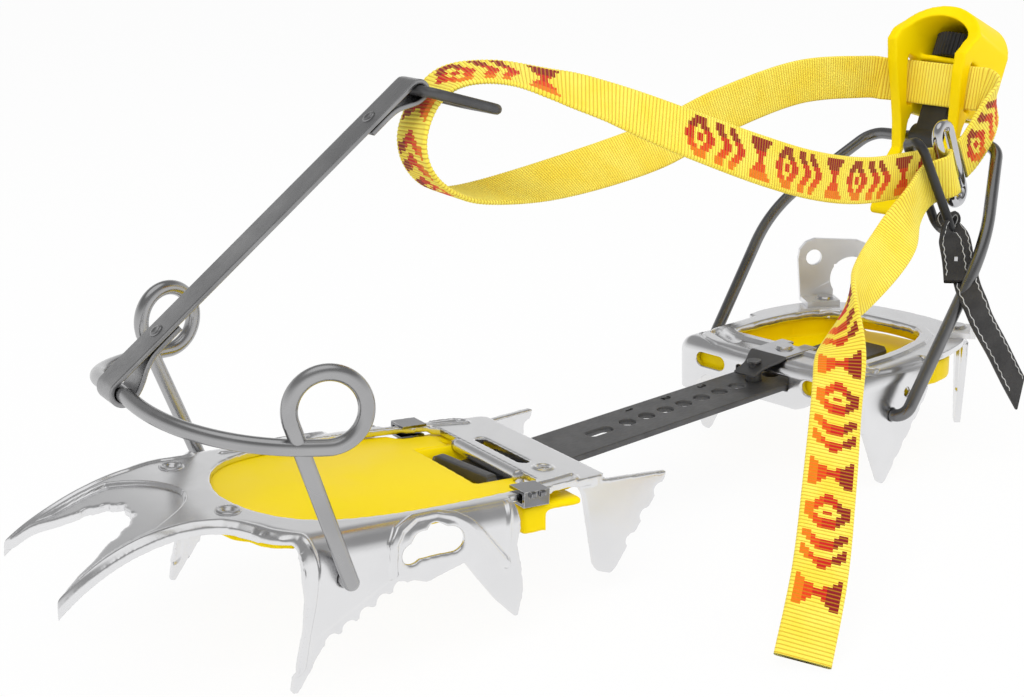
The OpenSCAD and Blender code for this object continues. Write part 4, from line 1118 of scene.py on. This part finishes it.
# share of a run's length at each joint between two bodies, by which the run is cut
JOINT_SHARES = (0.02, 0.08, 0.28, 0.22, 0.04, 0.21, 0.12, 0.03)
BUCKLE_SHARE = 0.05
web_piece(0, slot_in, ["buckle", "lever"], caps=(True, False))
web_piece(slot_in, slot_out, ["lever"])
web_piece(slot_out, ring_far, to_toe, JOINT_SHARES)
web_piece(ring_far, ring_near, ["strap_ring"])
web_piece(ring_near, wrap_in, to_toe[::-1] + ["buckle"], JOINT_SHARES[::-1] + (BUCKLE_SHARE,))
web_piece(wrap_in, wrap_out, ["buckle"])
web_piece(wrap_out, webbing.total, ["buckle"] + to_toe[:4], (BUCKLE_SHARE,) + JOINT_SHARES[:3],
          (False, True))


# pull tab

OVER = tuple(unit((8.2, 11.2, -3.2)))
TAB_W, TAB_T = 8.6, 1.7
STITCH_INSET, STITCH_PITCH, STITCH_WAVE, STITCH_R = 1.1, 3.4, 0.22, 0.17
WIDE = (0.76, -0.62, 0.1)
TAB = [((112.9, -44.3, 32.8), WIDE), ((116.6, -41.2, 35.8), WIDE), ((120.1, -37.9, 39.4), WIDE),
       ((122.8, -34.6, 43.4), (0.8, -0.5, 0)), ((123.6, -32.6, 47.0), (0.8, 0.2, -0.1)),
       ((126.3, -30.4, 50.2), OVER), ((129.6, -29.4, 48.6), (0.8, 0.2, -0.1)),
       ((128.4, -33.0, 44.5), (0.8, -0.5, 0)), ((125.4, -36.4, 41.2), WIDE), ((121.8, -40.0, 37.4), WIDE),
       ((117.8, -44.2, 33.9), (0.74, -0.55, 0.35)), ((113.6, -48.8, 30.6), (0.72, -0.45, 0.45)),
       ((111.4, -53.2, 26.4), (0.76, -0.4, 0.45)), ((113.8, -54.6, 20.4), (0.80, -0.3, 0.5)),
       ((120.4, -56.5, 10), (0.82, -0.25, 0.5)), ((126.2, -58.5, -0.3), (0.80, -0.25, 0.55)),
       ((131, -59.6, -7.6), (0.80, -0.25, 0.56))]
tab = lay(TAB, 0.5, flat_profile(TAB_W * MM, TAB_T * MM))
tab.cut_end(14 * MM, 4.5 * MM)
tab_leather = strap_mesh(tab, 0, len(tab.run) - 1, (True, True))
show("pull_tab_leather", tab_leather, "buckle", [black_leather] * 2, ("pull_tab",))


def stitch_paths(ribbon):
    """Wavy threads along both edges, on both faces."""
    keep = slice(4, len(ribbon.run) - 9)
    wave = STITCH_WAVE * MM * np.sin(2 * math.pi * ribbon.run / (STITCH_PITCH * MM))
    paths = []
    for edge in (-1, 1):
        for face in (-1, 1):
            off = edge * (np.abs(ribbon.over).max() - STITCH_INSET * MM) + wave
            row = ribbon.path + ribbon.side * off[:, None] + ribbon.face * face * (TAB_T / 2 + 0.02) * MM
            paths.append(row[keep])
    return paths


stitching = tubes(stitch_paths(tab), STITCH_R * MM, 6)
show("pull_tab_stitching", stitching, "buckle", [stitch_thread])
